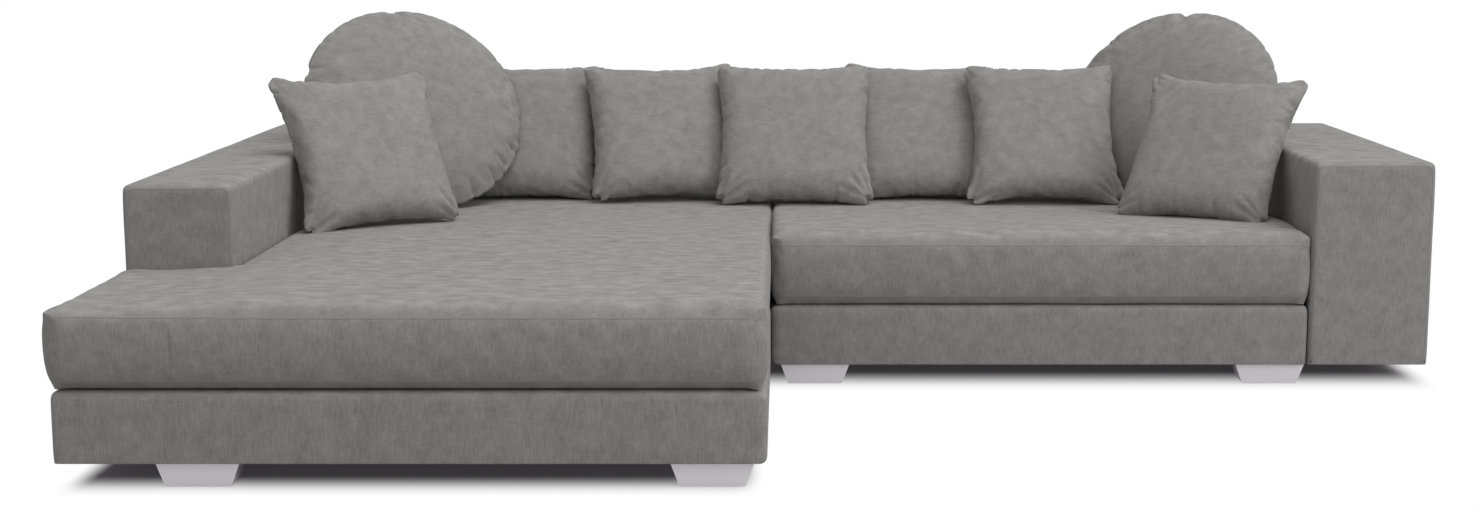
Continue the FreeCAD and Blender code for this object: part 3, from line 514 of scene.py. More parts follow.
def along_outline(corners, radii, level):
    """Points along a closed outline with rounded corners at one height."""
    path = []
    spots = [Vector((*corner, level)) for corner in corners]
    for at, here in enumerate(spots):
        start = here + (spots[at - 1] - here).normalized() * radii[at]
        end = here + (spots[(at + 1) % len(spots)] - here).normalized() * radii[at]
        if path:
            path += between(path[-1], start)
        for part in range(OUTLINE_TURNS + 1):
            share = part / OUTLINE_TURNS
            path.append(start.lerp(here, share).lerp(here.lerp(end, share), share))
    return path + between(path[-1], path[0])


# Upholstered blocks

BASE_CELL, BLOCK_CELL = 0.04, 0.035
BROAD_RIPPLE, FINE_RIPPLE = 5.0, 17.0  # waves of the unevenness per metre
FOOT_FALL = 0.6  # share of the fall at the top that the faces have at the foot
ARM_SEAM_WIDTH = 0.007
ARM_SEAM_INSET = 0.009
ARM_SEAM_CORNER = 0.026
ARM_SEAM_LIFT = 0.004  # of its ends over the under-cloth
SIDE_STEPS, CORNER_STEPS, TOP_STEPS = 30, 8, 16


def tight_block(name, areas, radius, cell, seed, swell_side=0):
    """Cover a base, an arm or a backrest with tight cloth: its plan's rectangles, rounded at the
    sides and on top, with faces that fall a little towards their edges. One side, left (-1) or
    right (1), may swell."""
    values = sizes()
    low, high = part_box("chaise_dust_cover")[1].z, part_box(name + "_cover")[1].z
    points, faces = slab_skin(areas, low, high, radius, cell)
    spot, _ = nearest_inside(points, areas, radius)
    core = np.column_stack([spot, np.minimum(points[:, 2], high - radius)])
    away = points - core
    far = np.linalg.norm(away, axis=1)
    far[far < ZERO] = 1
    outward = away / far[:, None]
    points = core + outward * np.minimum(far, radius)[:, None]
    ripple, run = values.block_ripple, values.softness_run
    sway = (wander(points, ripple, BROAD_RIPPLE, seed)
            + wander(points, ripple * 0.5, FINE_RIPPLE, seed + 1))
    inwards = np.minimum(np.sum(sway * outward, axis=1) - ripple, 0)
    below = 1 - np.clip((high - points[:, 2]) / run, 0, 1)
    above = 1 - np.clip((points[:, 2] - low) / (run / 2), 0, 1)
    within = 1 - np.clip(rim_distance(points, areas) / run, 0, 1)
    level = np.clip(outward[:, 2], 0, 1)
    fall = values.block_softness * (
        level * within ** 2 + (1 - level) * (below ** 2 + above ** 2 * FOOT_FALL))
    moved = points + outward * (inwards - fall)[:, None]
    if swell_side:
        # The swell also makes up for the fall and the ripple, so that the split stays closed
        facing = np.clip(outward[:, 0] * swell_side, 0, 1)
        belly = (points[:, 2] - low) * (high - points[:, 2]) / ((high - low) / 4) ** 2
        moved[:, 0] += (swell_side * facing * np.clip(belly, 0, 1) ** 0.5
                        * (values.split_swell + fall - inwards))
    moved[:, 2] = np.maximum(moved[:, 2], low)
    item = mesh_object(name + "_upholstery", moved, faces)
    smooth_finish(item)
    upholster(item, "sofa_frame", [name + "_cover"], "brushed_pile_cloth")
    return item


def plan_of(node):
    """A node's plan as a rectangle: low and high in X, then in Y."""
    low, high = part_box(node)
    return (low.x, high.x, low.y, high.y)


class SOFA_OT_bases(bpy.types.Operator):
    """Make the two upholstered bases"""
    bl_idname = "sofa.bases"
    bl_label = "Bases"

    def execute(self, context):
        radius = context.scene.sofa_sizes.base_radius
        low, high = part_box("chaise_base_cover")
        arm_low, arm_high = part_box("left_arm_cover")
        # The chaise's base runs in front of the left arm and beside it
        areas = [(low.x, high.x, low.y, arm_low.y), (arm_high.x, high.x, low.y, high.y)]
        tight_block("chaise_base", areas, radius, BASE_CELL, seed=1, swell_side=1)
        tight_block("two_seat_base", [plan_of("two_seat_base_cover")], radius, BASE_CELL,
                    seed=2, swell_side=-1)
        return {"FINISHED"}


class SOFA_OT_arms(bpy.types.Operator):
    """Make the two upholstered arms and the seams round their front panels"""
    bl_idname = "sofa.arms"
    bl_label = "Arms"

    def execute(self, context):
        radius = context.scene.sofa_sizes.block_radius
        turns = [math.pi / 2 * n / CORNER_STEPS for n in range(1, CORNER_STEPS + 1)]
        corner = ARM_SEAM_CORNER
        for name, seed in (("left_arm", 3), ("right_arm", 4)):
            item = tight_block(name, [plan_of(name + "_cover")], radius, BLOCK_CELL, seed)
            low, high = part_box(name + "_cover")
            left, right = low.x + ARM_SEAM_INSET, high.x - ARM_SEAM_INSET
            top = high.z - ARM_SEAM_INSET
            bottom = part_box("chaise_dust_cover")[1].z + ARM_SEAM_LIFT
            shoulder = top - corner
            # Up the left side and round its corner, over the top, and the same mirrored
            side = [(left, bottom + (shoulder - bottom) * n / SIDE_STEPS)
                    for n in range(SIDE_STEPS + 1)]
            side += [(left + corner - corner * math.cos(turn), shoulder + corner * math.sin(turn))
                     for turn in turns]
            width = right - left - 2 * corner
            over = [(left + corner + width * n / TOP_STEPS, top) for n in range(1, TOP_STEPS)]
            mirrored = [(left + right - x, z) for x, z in reversed(side)]
            path = [Vector((x, low.y, z)) for x, z in side + over + mirrored]
            seam(name + "_front_seam", item, path, False, "sofa_frame", ARM_SEAM_WIDTH)
        return {"FINISHED"}


class SOFA_OT_backs(bpy.types.Operator):
    """Make the two upholstered backrests"""
    bl_idname = "sofa.backs"
    bl_label = "Backrests"

    def execute(self, context):
        radius = context.scene.sofa_sizes.block_radius
        for name, seed, side in (("chaise_back", 5, 1), ("two_seat_back", 6, -1)):
            tight_block(name, [plan_of(name + "_cover")], radius, BLOCK_CELL, seed, side)
        return {"FINISHED"}


# Cloth simulation

def inflate(item, pressure, frames, bending, stiffness=15.0, shrink=0.0, pins=None, target=None):
    """Swell a mesh as cloth until a frame, or until its thickness in Z reaches a target, and
    return its points. The mesh itself isn't changed."""
    modifier = item.modifiers.new("cloth", "CLOTH")
    cloth = modifier.settings
    cloth.quality = 5
    cloth.mass = 0.3
    cloth.tension_stiffness = stiffness
    cloth.compression_stiffness = stiffness / 3
    cloth.shear_stiffness = stiffness / 3
    cloth.bending_stiffness = bending
    cloth.air_damping = 3
    cloth.use_pressure = True
    cloth.uniform_pressure_force = pressure
    cloth.shrink_min = shrink
    cloth.effector_weights.gravity = 0
    if pins is not None:
        group = item.vertex_groups.new(name="pins")
        group.add([int(pin) for pin in pins], 1.0, "REPLACE")
        cloth.vertex_group_mass = "pins"
    modifier.collision_settings.use_collision = False
    modifier.point_cache.frame_start = 1
    modifier.point_cache.frame_end = frames
    for number in range(1, frames + 1):
        bpy.context.scene.frame_set(number)
        shown = item.evaluated_get(bpy.context.evaluated_depsgraph_get())
        made = points_of(shown.data)
        if target and np.ptp(made[:, 2]) >= target:
            break
    item.modifiers.remove(modifier)
    bpy.context.scene.frame_set(1)
    return made


# Seat cushions

# Levels below the lower seam, levels between the seams, and how far the side swells at those
TUCK_LEVEL_SHARES = (0, 0.35, 0.8, 1)
SIDE_LEVEL_SHARES = (0, 0.08, 0.2, 0.36, 0.52, 0.68, 0.82, 0.93, 1)
SIDE_SWELL_SHARES = (0.25, 0.5, 0.74, 0.91, 0.99, 1, 0.96, 0.9, 0.8)
SEAT_CELL = 0.026
CUSHION_GAP = 0.002  # between a cushion and an arm or a back
TUCK_POWER = 1.15
TUCK_REACH = 0.05  # how far in below the cushion the tuck fades
LEAST_TUCK = 0.2  # share of the tuck at a tight side
CORNER_TUCK_LOSS = 0.65  # share of the tuck that a corner doesn't take
SEAT_FRAMES = 14
TIGHT_SWELL = 0.25  # share of the seat's swell that a tight side takes
SEAT_WANDER, SEAT_WAVES = 0.0016, 4.0
ROLL_POWER = 2.4  # 2 is a quarter circle
FRONT_FADE = (0.02, 0.2)  # metres behind the front over which its roll gives way
SPLIT_ROLL, TWO_SEAT_ROLL = 0.02, 0.03  # what the roll gains at the front
LEFT_ROLL = 0.03
OPEN_EDGE = 0.06  # how near the front or the left a side is open
SPLIT_EDGE = 0.02
TIGHT_CORNER, ARM_CORNER = 0.02, 0.004
CHAISE_FULL, TWO_SEAT_FULL = (-0.25, 0.6), (0.1, 0.6)  # Y between which the fullness fades
LEFT_FULL_RUN = 0.6  # how far in from the chaise's left side it is full
LESS_FULL, TWO_SEAT_BULGE = 0.8, 0.6  # shares of the chaise's, for the two-seat module
LEAST_CROWN = 0.01  # metres of crown below which the seat isn't uneven


def seat_cushion(name, body, areas, openness, corners, radii, seed):
    """A loose seat cushion with its seams: crowned on top, swollen at its open sides and tucked in
    below. openness(plan) gives how far each side swells, and the crown's height over the upper
    seam. corners and radii are the outline of the seams."""
    values = sizes()
    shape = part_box("chaise_cushion_cover")
    low, high = shape[0].z, shape[1].z
    upper, lower = high - values.crown_rise, low + values.lower_seam_rise
    radius = values.corner_radius
    rises = [low + (lower - low) * share for share in TUCK_LEVEL_SHARES]
    rises += [lower + (upper - lower) * share for share in SIDE_LEVEL_SHARES[1:]]
    points, faces = slab_skin(areas, low, upper, radius, SEAT_CELL, rises)
    spot, gap = nearest_inside(points, areas, radius)
    outward = (points[:, :2] - spot) / np.where(gap < ZERO, 1, gap)[:, None]
    wall = gap > radius - SAME
    plan = np.where((gap > radius)[:, None], spot + outward * radius, points[:, :2])
    swell_to, crown = openness(plan)
    level = points[:, 2]
    top = level > upper - SAME
    height = np.where(top, upper + crown, level)
    belly = (level - lower) / (upper - lower)
    swell = np.where(wall, np.interp(belly, SIDE_LEVEL_SHARES, SIDE_SWELL_SHARES) * swell_to, 0)
    swell = np.where(top & ~wall, swell_to * SIDE_SWELL_SHARES[-1] * gap / radius, swell)
    share = np.clip(swell_to / values.front_bulge, 0, 1)
    tuck_share = np.clip((lower - level) / (lower - low), 0, 1) ** TUCK_POWER
    near = np.clip(1 - (radius - gap) / TUCK_REACH, 0, 1)
    turned = np.abs(outward[:, 0] * outward[:, 1]) * 2
    tuck = (tuck_share * values.bottom_tuck * (LEAST_TUCK + (1 - LEAST_TUCK) * share) * near
            * (1 - CORNER_TUCK_LOSS * turned))
    height += tuck_share * values.bottom_lift * share * near
    shaped = np.column_stack([plan + outward * (swell - tuck)[:, None], height])
    item = mesh_object(name, shaped, faces)
    held = (wall & (np.abs(level - upper) < SAME)) | (level < lower + SAME)
    made = inflate(item, pressure=3.0, frames=SEAT_FRAMES, bending=0.3, stiffness=10.0,
                   shrink=-0.012, pins=np.nonzero(held)[0])
    shift = made - shaped
    far = np.linalg.norm(shift, axis=1)
    limit = np.where(share > 0.5, values.seat_swell, values.seat_swell * TIGHT_SWELL)
    shaped = shaped + shift * np.minimum(1, limit / np.maximum(far, ZERO))[:, None]
    shaped[:, 2] = np.minimum(shaped[:, 2], high + values.crown_fullness)
    dips = np.minimum(wander(shaped, SEAT_WANDER, SEAT_WAVES, seed)[:, 2] - SEAT_WANDER / 2, 0)
    shaped[:, 2] += dips * (crown > LEAST_CROWN)
    set_points(item.data, shaped)
    item.vertex_groups.clear()
    smooth_finish(item)
    upholster(item, body, [body + "_cover"], "brushed_pile_cloth")
    for word, at in (("_upper_seam", upper), ("_lower_seam", lower)):
        seam(body + word, item, along_outline(corners, radii, at), True, body)


def crown_share(distance, run):
    """Share of the crown's rise at a distance from the edge, rolled over it in an arc."""
    return (1 - (1 - np.clip(distance / run, 0, 1)) ** ROLL_POWER) ** (1 / ROLL_POWER)


def fading(distance, start, end):
    """Falls softly from 1 to 0 between two distances."""
    share = np.clip((distance - start) / (end - start), 0, 1)
    return 1 - share * share * (3 - 2 * share)


class SOFA_OT_seat_cushions(bpy.types.Operator):
    """Make the two loose seat cushions and their seams"""
    bl_idname = "sofa.seat_cushions"
    bl_label = "Seat cushions"

    def execute(self, context):
        values = context.scene.sofa_sizes
        wide, tight_run = values.corner_radius, values.tight_run
        rise, fullness = values.crown_rise, values.crown_fullness
        base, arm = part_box("chaise_base_cover"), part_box("left_arm_cover")
        left, right = base[0].x, base[1].x
        front, rear = base[0].y, base[1].y - CUSHION_GAP
        inner, step = arm[1].x + CUSHION_GAP, arm[0].y - CUSHION_GAP

        def chaise_open(plan):
            """The chaise's front and its left side before the arm are open."""
            x, y = plan[:, 0], plan[:, 1]
            fore = y < step + SAME
            near = fading(y, front + FRONT_FADE[0], front + FRONT_FADE[1])
            crown = (crown_share(y - front, values.crown_run)
                     * crown_share(right - x, tight_run + SPLIT_ROLL * near))
            crown = crown * np.where(fore, crown_share(x - left, LEFT_ROLL),
                                     crown_share(x - inner, tight_run))
            crown = crown * crown_share(rear - y, tight_run)
            beside_arm = np.where(x < inner, crown_share(step - y, tight_run), 1)
            full = fading(y, *CHAISE_FULL) * (1 - fading(x, left, left + LEFT_FULL_RUN))
            open_side = (y - front < OPEN_EDGE) | (fore & (x - left < OPEN_EDGE))
            swell = np.where(open_side, values.front_bulge, 0)
            turn = np.clip(1 - (y - front) / OPEN_EDGE, 0, 1)
            beside_split = values.split_bulge + (values.front_bulge - values.split_bulge) * turn
            swell = np.where(right - x < SPLIT_EDGE, beside_split, swell)
            return swell, crown * beside_arm * (rise + fullness * full)

        seat_cushion("chaise_seat_cushion", "chaise_cushion",
                     [(left, right, front, step), (inner, right, front, rear)], chaise_open,
                     [(left, front), (right, front), (right, rear), (inner, rear), (inner, step),
                      (left, step)],
                     [wide, wide, TIGHT_CORNER, TIGHT_CORNER, ARM_CORNER, TIGHT_CORNER], seed=3)

        base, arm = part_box("two_seat_base_cover"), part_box("right_arm_cover")
        left, right = base[0].x, arm[0].x - CUSHION_GAP
        front, rear = base[0].y, base[1].y - CUSHION_GAP

        def two_seat_open(plan):
            """Only the two-seat module's front is open."""
            x, y = plan[:, 0], plan[:, 1]
            run = tight_run + TWO_SEAT_ROLL * fading(y, front + FRONT_FADE[0],
                                                     front + FRONT_FADE[1])
            crown = crown_share(y - front, values.crown_run) * crown_share(rear - y, tight_run)
            crown = crown * crown_share(x - left, run) * crown_share(right - x, run)
            swell = np.where(y - front < OPEN_EDGE, values.front_bulge * TWO_SEAT_BULGE, 0)
            swell = np.where((x - left < SPLIT_EDGE) & (y - front > OPEN_EDGE),
                             values.split_bulge, swell)
            return swell, crown * (rise + fullness * (fading(y, *TWO_SEAT_FULL) * LESS_FULL))

        seat_cushion("two_seat_seat_cushion", "two_seat_cushion", [(left, right, front, rear)],
                     two_seat_open, [(left, front), (right, front), (right, rear), (left, rear)],
                     [wide, wide, TIGHT_CORNER, TIGHT_CORNER], seed=5)
        return {"FINISHED"}


# Scatter cushions

PANEL_LIFT = 0.012  # how far apart the panels' middles start, each side
PANEL_NOISE = 0.0006
PANEL_SPACING = 1.0  # between cushions that swell in one simulation
SQUARE_POWER = 18  # how square the panels' corners are
SIDE_DRAW = 0.022  # share by which the middle of a square's side is drawn in
FIRST_RING, RING_DOUBLING = 18, 1.5
DISC_HALF = 0.355  # half of the 710 mm disc that a round cushion is cut from
SWELL_FRAMES = 26
SWELL_PAST = 1.02  # the swelling stops this much past the thickness
CREASE_TURN, CREASE = 0.35, 0.6  # cosine below which faces are creased, and how much
SQUARE_THICKNESS, ROUND_THICKNESS = 0.136, 0.15

# Ranges of a fold's length, width and depth, and what the gathered part of a rim adds
RIM_FOLD = ((0.025, 0.05), (0.006, 0.008), (0.003, 0.007))
SIDE_FOLD = ((0.02, 0.05), (0.005, 0.008), (0.003, 0.0085))
CORNER_FOLD = ((0.05, 0.08), (0.006, 0.01), (0.004, 0.007))
RIM_GATHER_LENGTH, RIM_GATHER_DEPTH = 0.02, 0.008
CORNER_GATHER_LENGTH = 0.04
GATHER_SPREAD = 0.87  # cosine of the angle to either side that a rim is gathered over
RIM_FOLDS, SIDE_FOLDS = 26, 6
RIM_START, SIDE_START, CORNER_START = 0.985, 0.955, 0.95  # shares of the half size
LOW_CORNER_TURNS, HIGH_CORNER_TURNS = (0.24, 0.5, 0.76), (0.3, 0.7)
RIM_JITTER, CORNER_JITTER = 0.35, 0.07  # of a fold's place, in folds and in quarter turns
SIDE_SPAN, SIDE_SLANT = 0.8, 0.35  # share of a side with folds, and how far they slant
FOLD_SKEW = 0.6  # below 1 a fold is deepest near its start
SEAM_PULL, PULL_REACH = 0.45, 0.014


def square_panels(cells, half, random):
    """Two square panels of cloth with softened corners, joined along their edges."""
    ticks = np.linspace(-1, 1, cells + 1)
    points, faces, fore, rear = [], [], {}, {}
    for i, u in enumerate(ticks):
        for j, v in enumerate(ticks):
            reach = max(abs(u), abs(v))
            trim = 1
            if reach > 0:
                trim = (abs(u) ** SQUARE_POWER + abs(v) ** SQUARE_POWER) ** (-1 / SQUARE_POWER)
                trim = 1 + (trim * reach - 1) * reach ** 2
            x = u * trim * (1 - SIDE_DRAW * (1 - v * v) * u * u)
            y = v * trim * (1 - SIDE_DRAW * (1 - u * u) * v * v)
            rise = PANEL_LIFT * (1 - u * u) * (1 - v * v)
            edge = i in (0, cells) or j in (0, cells)
            fore[i, j] = rear[i, j] = len(points)
            lift = rise + (0 if edge else random.normal(0, PANEL_NOISE))
            points.append((half * x, half * y, lift))
            if not edge:
                rear[i, j] = len(points)
                points.append((half * x, half * y, random.normal(0, PANEL_NOISE) - rise))
    for i in range(cells):
        for j in range(cells):
            faces.append((fore[i, j], fore[i + 1, j], fore[i + 1, j + 1], fore[i, j + 1]))
            faces.append((rear[i, j + 1], rear[i + 1, j + 1], rear[i + 1, j], rear[i, j]))
    return np.array(points), faces


def round_panels(cells, half, random):
    """Two discs of cloth joined along their rim, drawn on rings of cells."""
    rings = cells // 2
    counts = [1]
    for ring in range(1, rings + 1):
        count = FIRST_RING
        while count * RING_DOUBLING < 2 * math.pi * ring:
            count *= 2
        counts.append(count)
    points, faces, rim = [], [], []
    for side in (1, -1):
        rows = []
        for ring, count in enumerate(counts):
            share = ring / rings
            if ring == rings and rim:
                rows.append(rim)
                continue
            row = []
            for turn in range(count):
                angle = 2 * math.pi * turn / count
                rise = PANEL_LIFT * (1 - share ** 2)
                rise += random.normal(0, PANEL_NOISE) if ring < rings else 0
                row.append(len(points))
                points.append((half * share * math.cos(angle), half * share * math.sin(angle),
                               side * rise))
            rows.append(row)
        rim = rows[-1]
        made = [(rows[0][0], spot, rows[1][(turn + 1) % len(rows[1])])
                for turn, spot in enumerate(rows[1])]
        for inner, outer in zip(rows[1:], rows[2:]):
            steps = len(outer) // len(inner)
            for turn, here in enumerate(inner):
                after = inner[(turn + 1) % len(inner)]
                ring = [outer[(turn * steps + step) % len(outer)] for step in range(steps + 1)]
                if steps == 1:
                    made.append((here, ring[0], ring[1], after))
                else:
                    made += [(here, ring[0], ring[1]), (here, ring[1], after),
                             (after, ring[1], ring[2])]
        faces += made if side > 0 else [face[::-1] for face in made]
    return np.array(points), faces


def swell_panels(count, half, is_round, thickness, pressure, bending, seed):
    """Several cushions swollen in one simulation; returns each one's points, and their faces."""
    random = np.random.default_rng(seed)
    panels = round_panels if is_round else square_panels
    all_points, all_faces = [], []
    for number in range(count):
        points, faces = panels(sizes().scatter_cells, half, random)
        start = number * len(points)
        all_points.append(points + [number * PANEL_SPACING, 0, 0])
        all_faces += [[start + corner for corner in face] for face in faces]
    item = mesh_object("panels", np.concatenate(all_points), all_faces)
    made = inflate(item, pressure, SWELL_FRAMES, bending, target=thickness * SWELL_PAST)
    bpy.data.objects.remove(item)
    size = len(made) // count
    return [made[n * size:(n + 1) * size] - [n * PANEL_SPACING, 0, 0]
            for n in range(count)], faces


def cushion_place(node):
    """Centre, axes and size of a scatter cushion from its CAD node. The axes are across, up its
    face and out of its face."""
    points = points_of(frame["nodes"][node].data)
    centre = points.mean(0)
    for _ in range(3):
        spread = points - centre
        normal = np.linalg.eigh(spread.T @ spread)[1][:, 0]
        if normal[1] > 0:
            normal = -normal
        across = np.cross([0, 0, 1], normal)
        across /= np.linalg.norm(across)
        axes = np.column_stack([across, np.cross(normal, across), normal])
        local = spread @ axes
        centre = centre + axes @ ((local.min(0) + local.max(0)) / 2)
    return centre, axes, np.ptp((points - centre) @ axes, axis=0)


def seam_folds(extent, is_round, gathered, random):
    """Small folds that run in from a scatter cushion's seam: start, heading, length, width, depth.
    gathered is the angle at which a rim is gathered, or what a low corner's folds gain in depth."""
    half = np.array(extent[:2]) / 2
    folds = []
    if is_round:
        for number in range(RIM_FOLDS):
            angle = 2 * math.pi * (number + random.uniform(-RIM_JITTER, RIM_JITTER)) / RIM_FOLDS
            near = math.cos(angle - math.radians(gathered)) > GATHER_SPREAD
            outward = np.array([math.cos(angle), math.sin(angle)])
            length, width, depth = [random.uniform(*span) for span in RIM_FOLD]
            folds.append((half * outward * RIM_START, -outward, length + RIM_GATHER_LENGTH * near,
                          width, depth + RIM_GATHER_DEPTH * near))
        return folds
    for axis in (0, 1):
        for side in (-1, 1):
            for _ in range(SIDE_FOLDS):
                start, heading = np.zeros(2), np.zeros(2)
                start[axis] = half[axis] * side * SIDE_START
                start[1 - axis] = half[1 - axis] * random.uniform(-SIDE_SPAN, SIDE_SPAN)
                heading[axis] = -side
                heading[1 - axis] = random.uniform(-SIDE_SLANT, SIDE_SLANT)
                folds.append((start, heading / np.linalg.norm(heading),
                              *[random.uniform(*span) for span in SIDE_FOLD]))
    for across in (-1, 1):
        for rise in (-1, 1):
            low = rise < 0
            for turn in LOW_CORNER_TURNS if low else HIGH_CORNER_TURNS:
                angle = math.pi / 2 * (turn + random.uniform(-CORNER_JITTER, CORNER_JITTER))
                heading = np.array([-across * math.cos(angle), -rise * math.sin(angle)])
                length, width, depth = [random.uniform(*span) for span in CORNER_FOLD]
                folds.append((half * (across, rise) * CORNER_START, heading,
                              length + CORNER_GATHER_LENGTH * low, width, depth + gathered * low))
    return folds


def press_folds(local, side, folds):
    """Press folds into one side of a cushion laid flat, and draw its seam in where each begins."""
    depth, pull = np.zeros(len(local)), np.zeros((len(local), 2))
    for start, heading, length, width, deep in folds:
        reach = local[:, :2] - start
        along = reach @ heading
        share = np.clip(along / length, 0, 1)
        beside = np.exp(-(reach @ np.array([-heading[1], heading[0]]) / width) ** 2)
        depth = np.maximum(depth, deep * np.sin(math.pi * share ** FOLD_SKEW) * beside)
        draw = SEAM_PULL * deep * beside * np.exp(-(along / PULL_REACH) ** 2)
        pull += heading * draw[:, None]
    local[:, :2] += pull
    local[:, 2] -= side * depth * (local[:, 2] * side > 0)


def place_cushion(name, points, faces, turn, grow=(1, 1), gathered=0.006):
    """Fit swollen panels to their CAD node, lay them in place and press in their folds."""
    piece, node = name + "_soft", name + "_case"
    centre, axes, extent = cushion_place(node)
    extent = extent * (*grow, 1)
    sine, cosine = math.sin(math.radians(turn)), math.cos(math.radians(turn))
    local = points @ np.array([[cosine, -sine, 0], [sine, cosine, 0], [0, 0, 1]]).T
    local = local - (local.min(0) + local.max(0)) / 2
    local = local * (extent / np.ptp(local, axis=0))
    item = mesh_object(piece, local @ axes.T + centre, faces)
    edges = {}
    for face in item.data.polygons:
        for key in face.edge_keys:
            edges.setdefault(key, []).append(face.normal)
    sharp = []
    for edge in item.data.edges:
        pair = edges[edge.key]
        sharp.append(CREASE if len(pair) == 2 and pair[0].dot(pair[1]) < CREASE_TURN else 0.0)
    crease = item.data.attributes.new("crease_edge", "FLOAT", "EDGE")
    crease.data.foreach_set("value", sharp)
    smooth_finish(item)
    random = np.random.default_rng([ord(letter) for letter in piece])
    local = (points_of(item.data) - centre) @ axes
    for side in (-1, 1):
        press_folds(local, side, seam_folds(extent, "round" in name, gathered, random))
    set_points(item.data, local @ axes.T + centre)
    upholster(item, name, [node], "scatter_pile_cloth")


class SOFA_OT_scatter_cushions(bpy.types.Operator):
    """Swell the seven square and two round scatter cushions and lay them in place"""
    bl_idname = "sofa.scatter_cushions"
    bl_label = "Scatter cushions"

    def execute(self, context):
        half = context.scene.sofa_sizes.scatter_cloth
        squares, faces = swell_panels(7, half, False, SQUARE_THICKNESS, pressure=3.2,
                                      bending=0.3, seed=11)
        for number, points in enumerate(squares, start=1):
            place_cushion("square_cushion_%d" % number, points, faces, number % 4 * 90)
        rounds, faces = swell_panels(2, DISC_HALF, True, ROUND_THICKNESS, pressure=2.2,
                                     bending=0.08, seed=29)
        for side, points, turn, grow, gathered in (
                ("left", rounds[0], 26, (1.03, 0.975), -40),
                ("right", rounds[1], 25, (1.05, 0.995), -70)):
            place_cushion("round_cushion_" + side, points, faces, turn, grow, gathered)
        return {"FINISHED"}


# Finishes

# The endings of the CAD nodes' names that take each finish; the others are foam. The under-cloth
# comes before the covers, because its name ends as theirs do.
NODE_FINISHES = {
    "planed_softwood": ("_rails", "_frame", "_blocks"),
    "smooth_hardboard": ("_panels",),
    "elastic_webbing": ("_webbing",),
    "needle_felt": ("_felt_pad",),
    "black_under_cloth": ("_dust_cover",),
    "satin_silver_metal": ("_feet",),
    "moulded_black_pad": ("_pads",),
    "bent_steel": ("_bolts", "_sockets", "_hooks"),
    "fibre_filling": ("_filling",),
    "scatter_pile_cloth": ("_case",),
    "brushed_pile_cloth": ("_cover",),
}


class SOFA_OT_finishes(bpy.types.Operator):
    """Make the materials and give each CAD node its own"""
    bl_idname = "sofa.finishes"
    bl_label = "Finishes"

    def execute(self, context):
        tones = context.scene.sofa_colours
        even, dull = (1, 1, 1), 0.2
        # Woven upholstery cloth, brushed: the pile scatters the light, so it is matt from every
        # side, with soft streaks and patches where it lies another way
        pile_cloth("brushed_pile_cloth", 38, 1.5, 0.5, 0.25)
        # The same cloth over a soft filling: less contrast, and its weft shows more
        pile_cloth("scatter_pile_cloth", 34, 1.2, 0.65, 0.45)
        # The same cloth folded under and sewn twice: a slightly darker band, dotted at its edges.
        # The dark
        #  edges are the thread with painted shade of the sunk edges, and the dots are painted shade
        #  in the stitch holes
        seam_cloth("felled_seam")
        # Planed pine or spruce, unfinished: warm and pale, with a long fine grain
        grained("planed_softwood", tones.softwood, 3, (1, 1, 25), 0.6, 0.15, 0.75)
        # Pressed wood fibre: brown, even and slightly smooth, without a direction
        grained("smooth_hardboard", tones.hardboard, 2, even, 0.55, 0.1, 0.75)
        # Cut polyurethane foam: cream and matt, pitted by its open cells, drawn at 3 mm
        grained("open_cell_foam", tones.foam, 3, even, 1.0, 0.5, 0.85, dull)
        # Carded polyester fibre: white and matt, in soft tufts
        grained("fibre_filling", linear("EDEDEA"), 5, even, 1.0, 0.4, 0.9, dull)
        # Needled recycled felt: mottled grey and matt
        grained("needle_felt", linear("8C8A86"), 2.5, (1, 1, 3), 1.0, 0.4, 0.7, dull)
        # Spun-bonded polypropylene: near black and matt, lightly pressed
        grained("black_under_cloth", tones.black_cloth, 2, even, 0.95, 0.3, 0.5, dull)
        # Satin silver metal, finely brushed: pale, with a broad soft gloss
        grained("satin_silver_metal", tones.foot, 0.8, (40, 1, 1), 0.42, 0.04, 0.95,
                metallic=0.42)
        # Zinc-plated steel, rolled and bent: grey with a plain gloss and rolling marks
        grained("bent_steel", linear("9A9A9A"), 1.5, (1, 8, 1), 0.4, 0.08, 0.9, metallic=1.0)
        # Moulded polyethylene: black, with a soft gloss on a fine grain
        grained("moulded_black_pad", linear("161616"), 1.5, even, 0.6, 0.2, 0.8)
        # Woven rubber and polyester band: brown and matt, with ribs drawn coarser than the real
        # 5 mm, so that they show
        banded("elastic_webbing", linear("4A3E35"), 5)
        for name, item in frame["nodes"].items():
            wear(item, next((finish for finish, endings in NODE_FINISHES.items()
                             if name.endswith(endings)), "open_cell_foam"))
        return {"FINISHED"}


# Stage

FLOOR_SIZE = 60
SKY_STRENGTH, SCREEN_STRENGTH = 0.46, 1.0  # on the sofa, and as the camera sees it
SUN_STRENGTH, SUN_SPREAD, SUN_FROM = 1.5, 50, (0.42, -0.08, 1)
SOFTBOX_SIZE = 1.6
SOFTBOXES = (  # name, watts, place, aim
    ("right_softbox", 34, (3.2, -2.7, 2.2), (0.3, 0.4, 0.5)),
    ("front_softbox", 8, (-0.7, -2.6, 2.6), (-0.6, -0.9, 0.4)),
)
CAMERA_PLACE = (-0.0575, -5.636, 1.250)
CAMERA_DIP = 9.02  # degrees below level
SENSOR_MM, LENS_MM, LENS_SHIFT = 36, 50.06, -0.0304


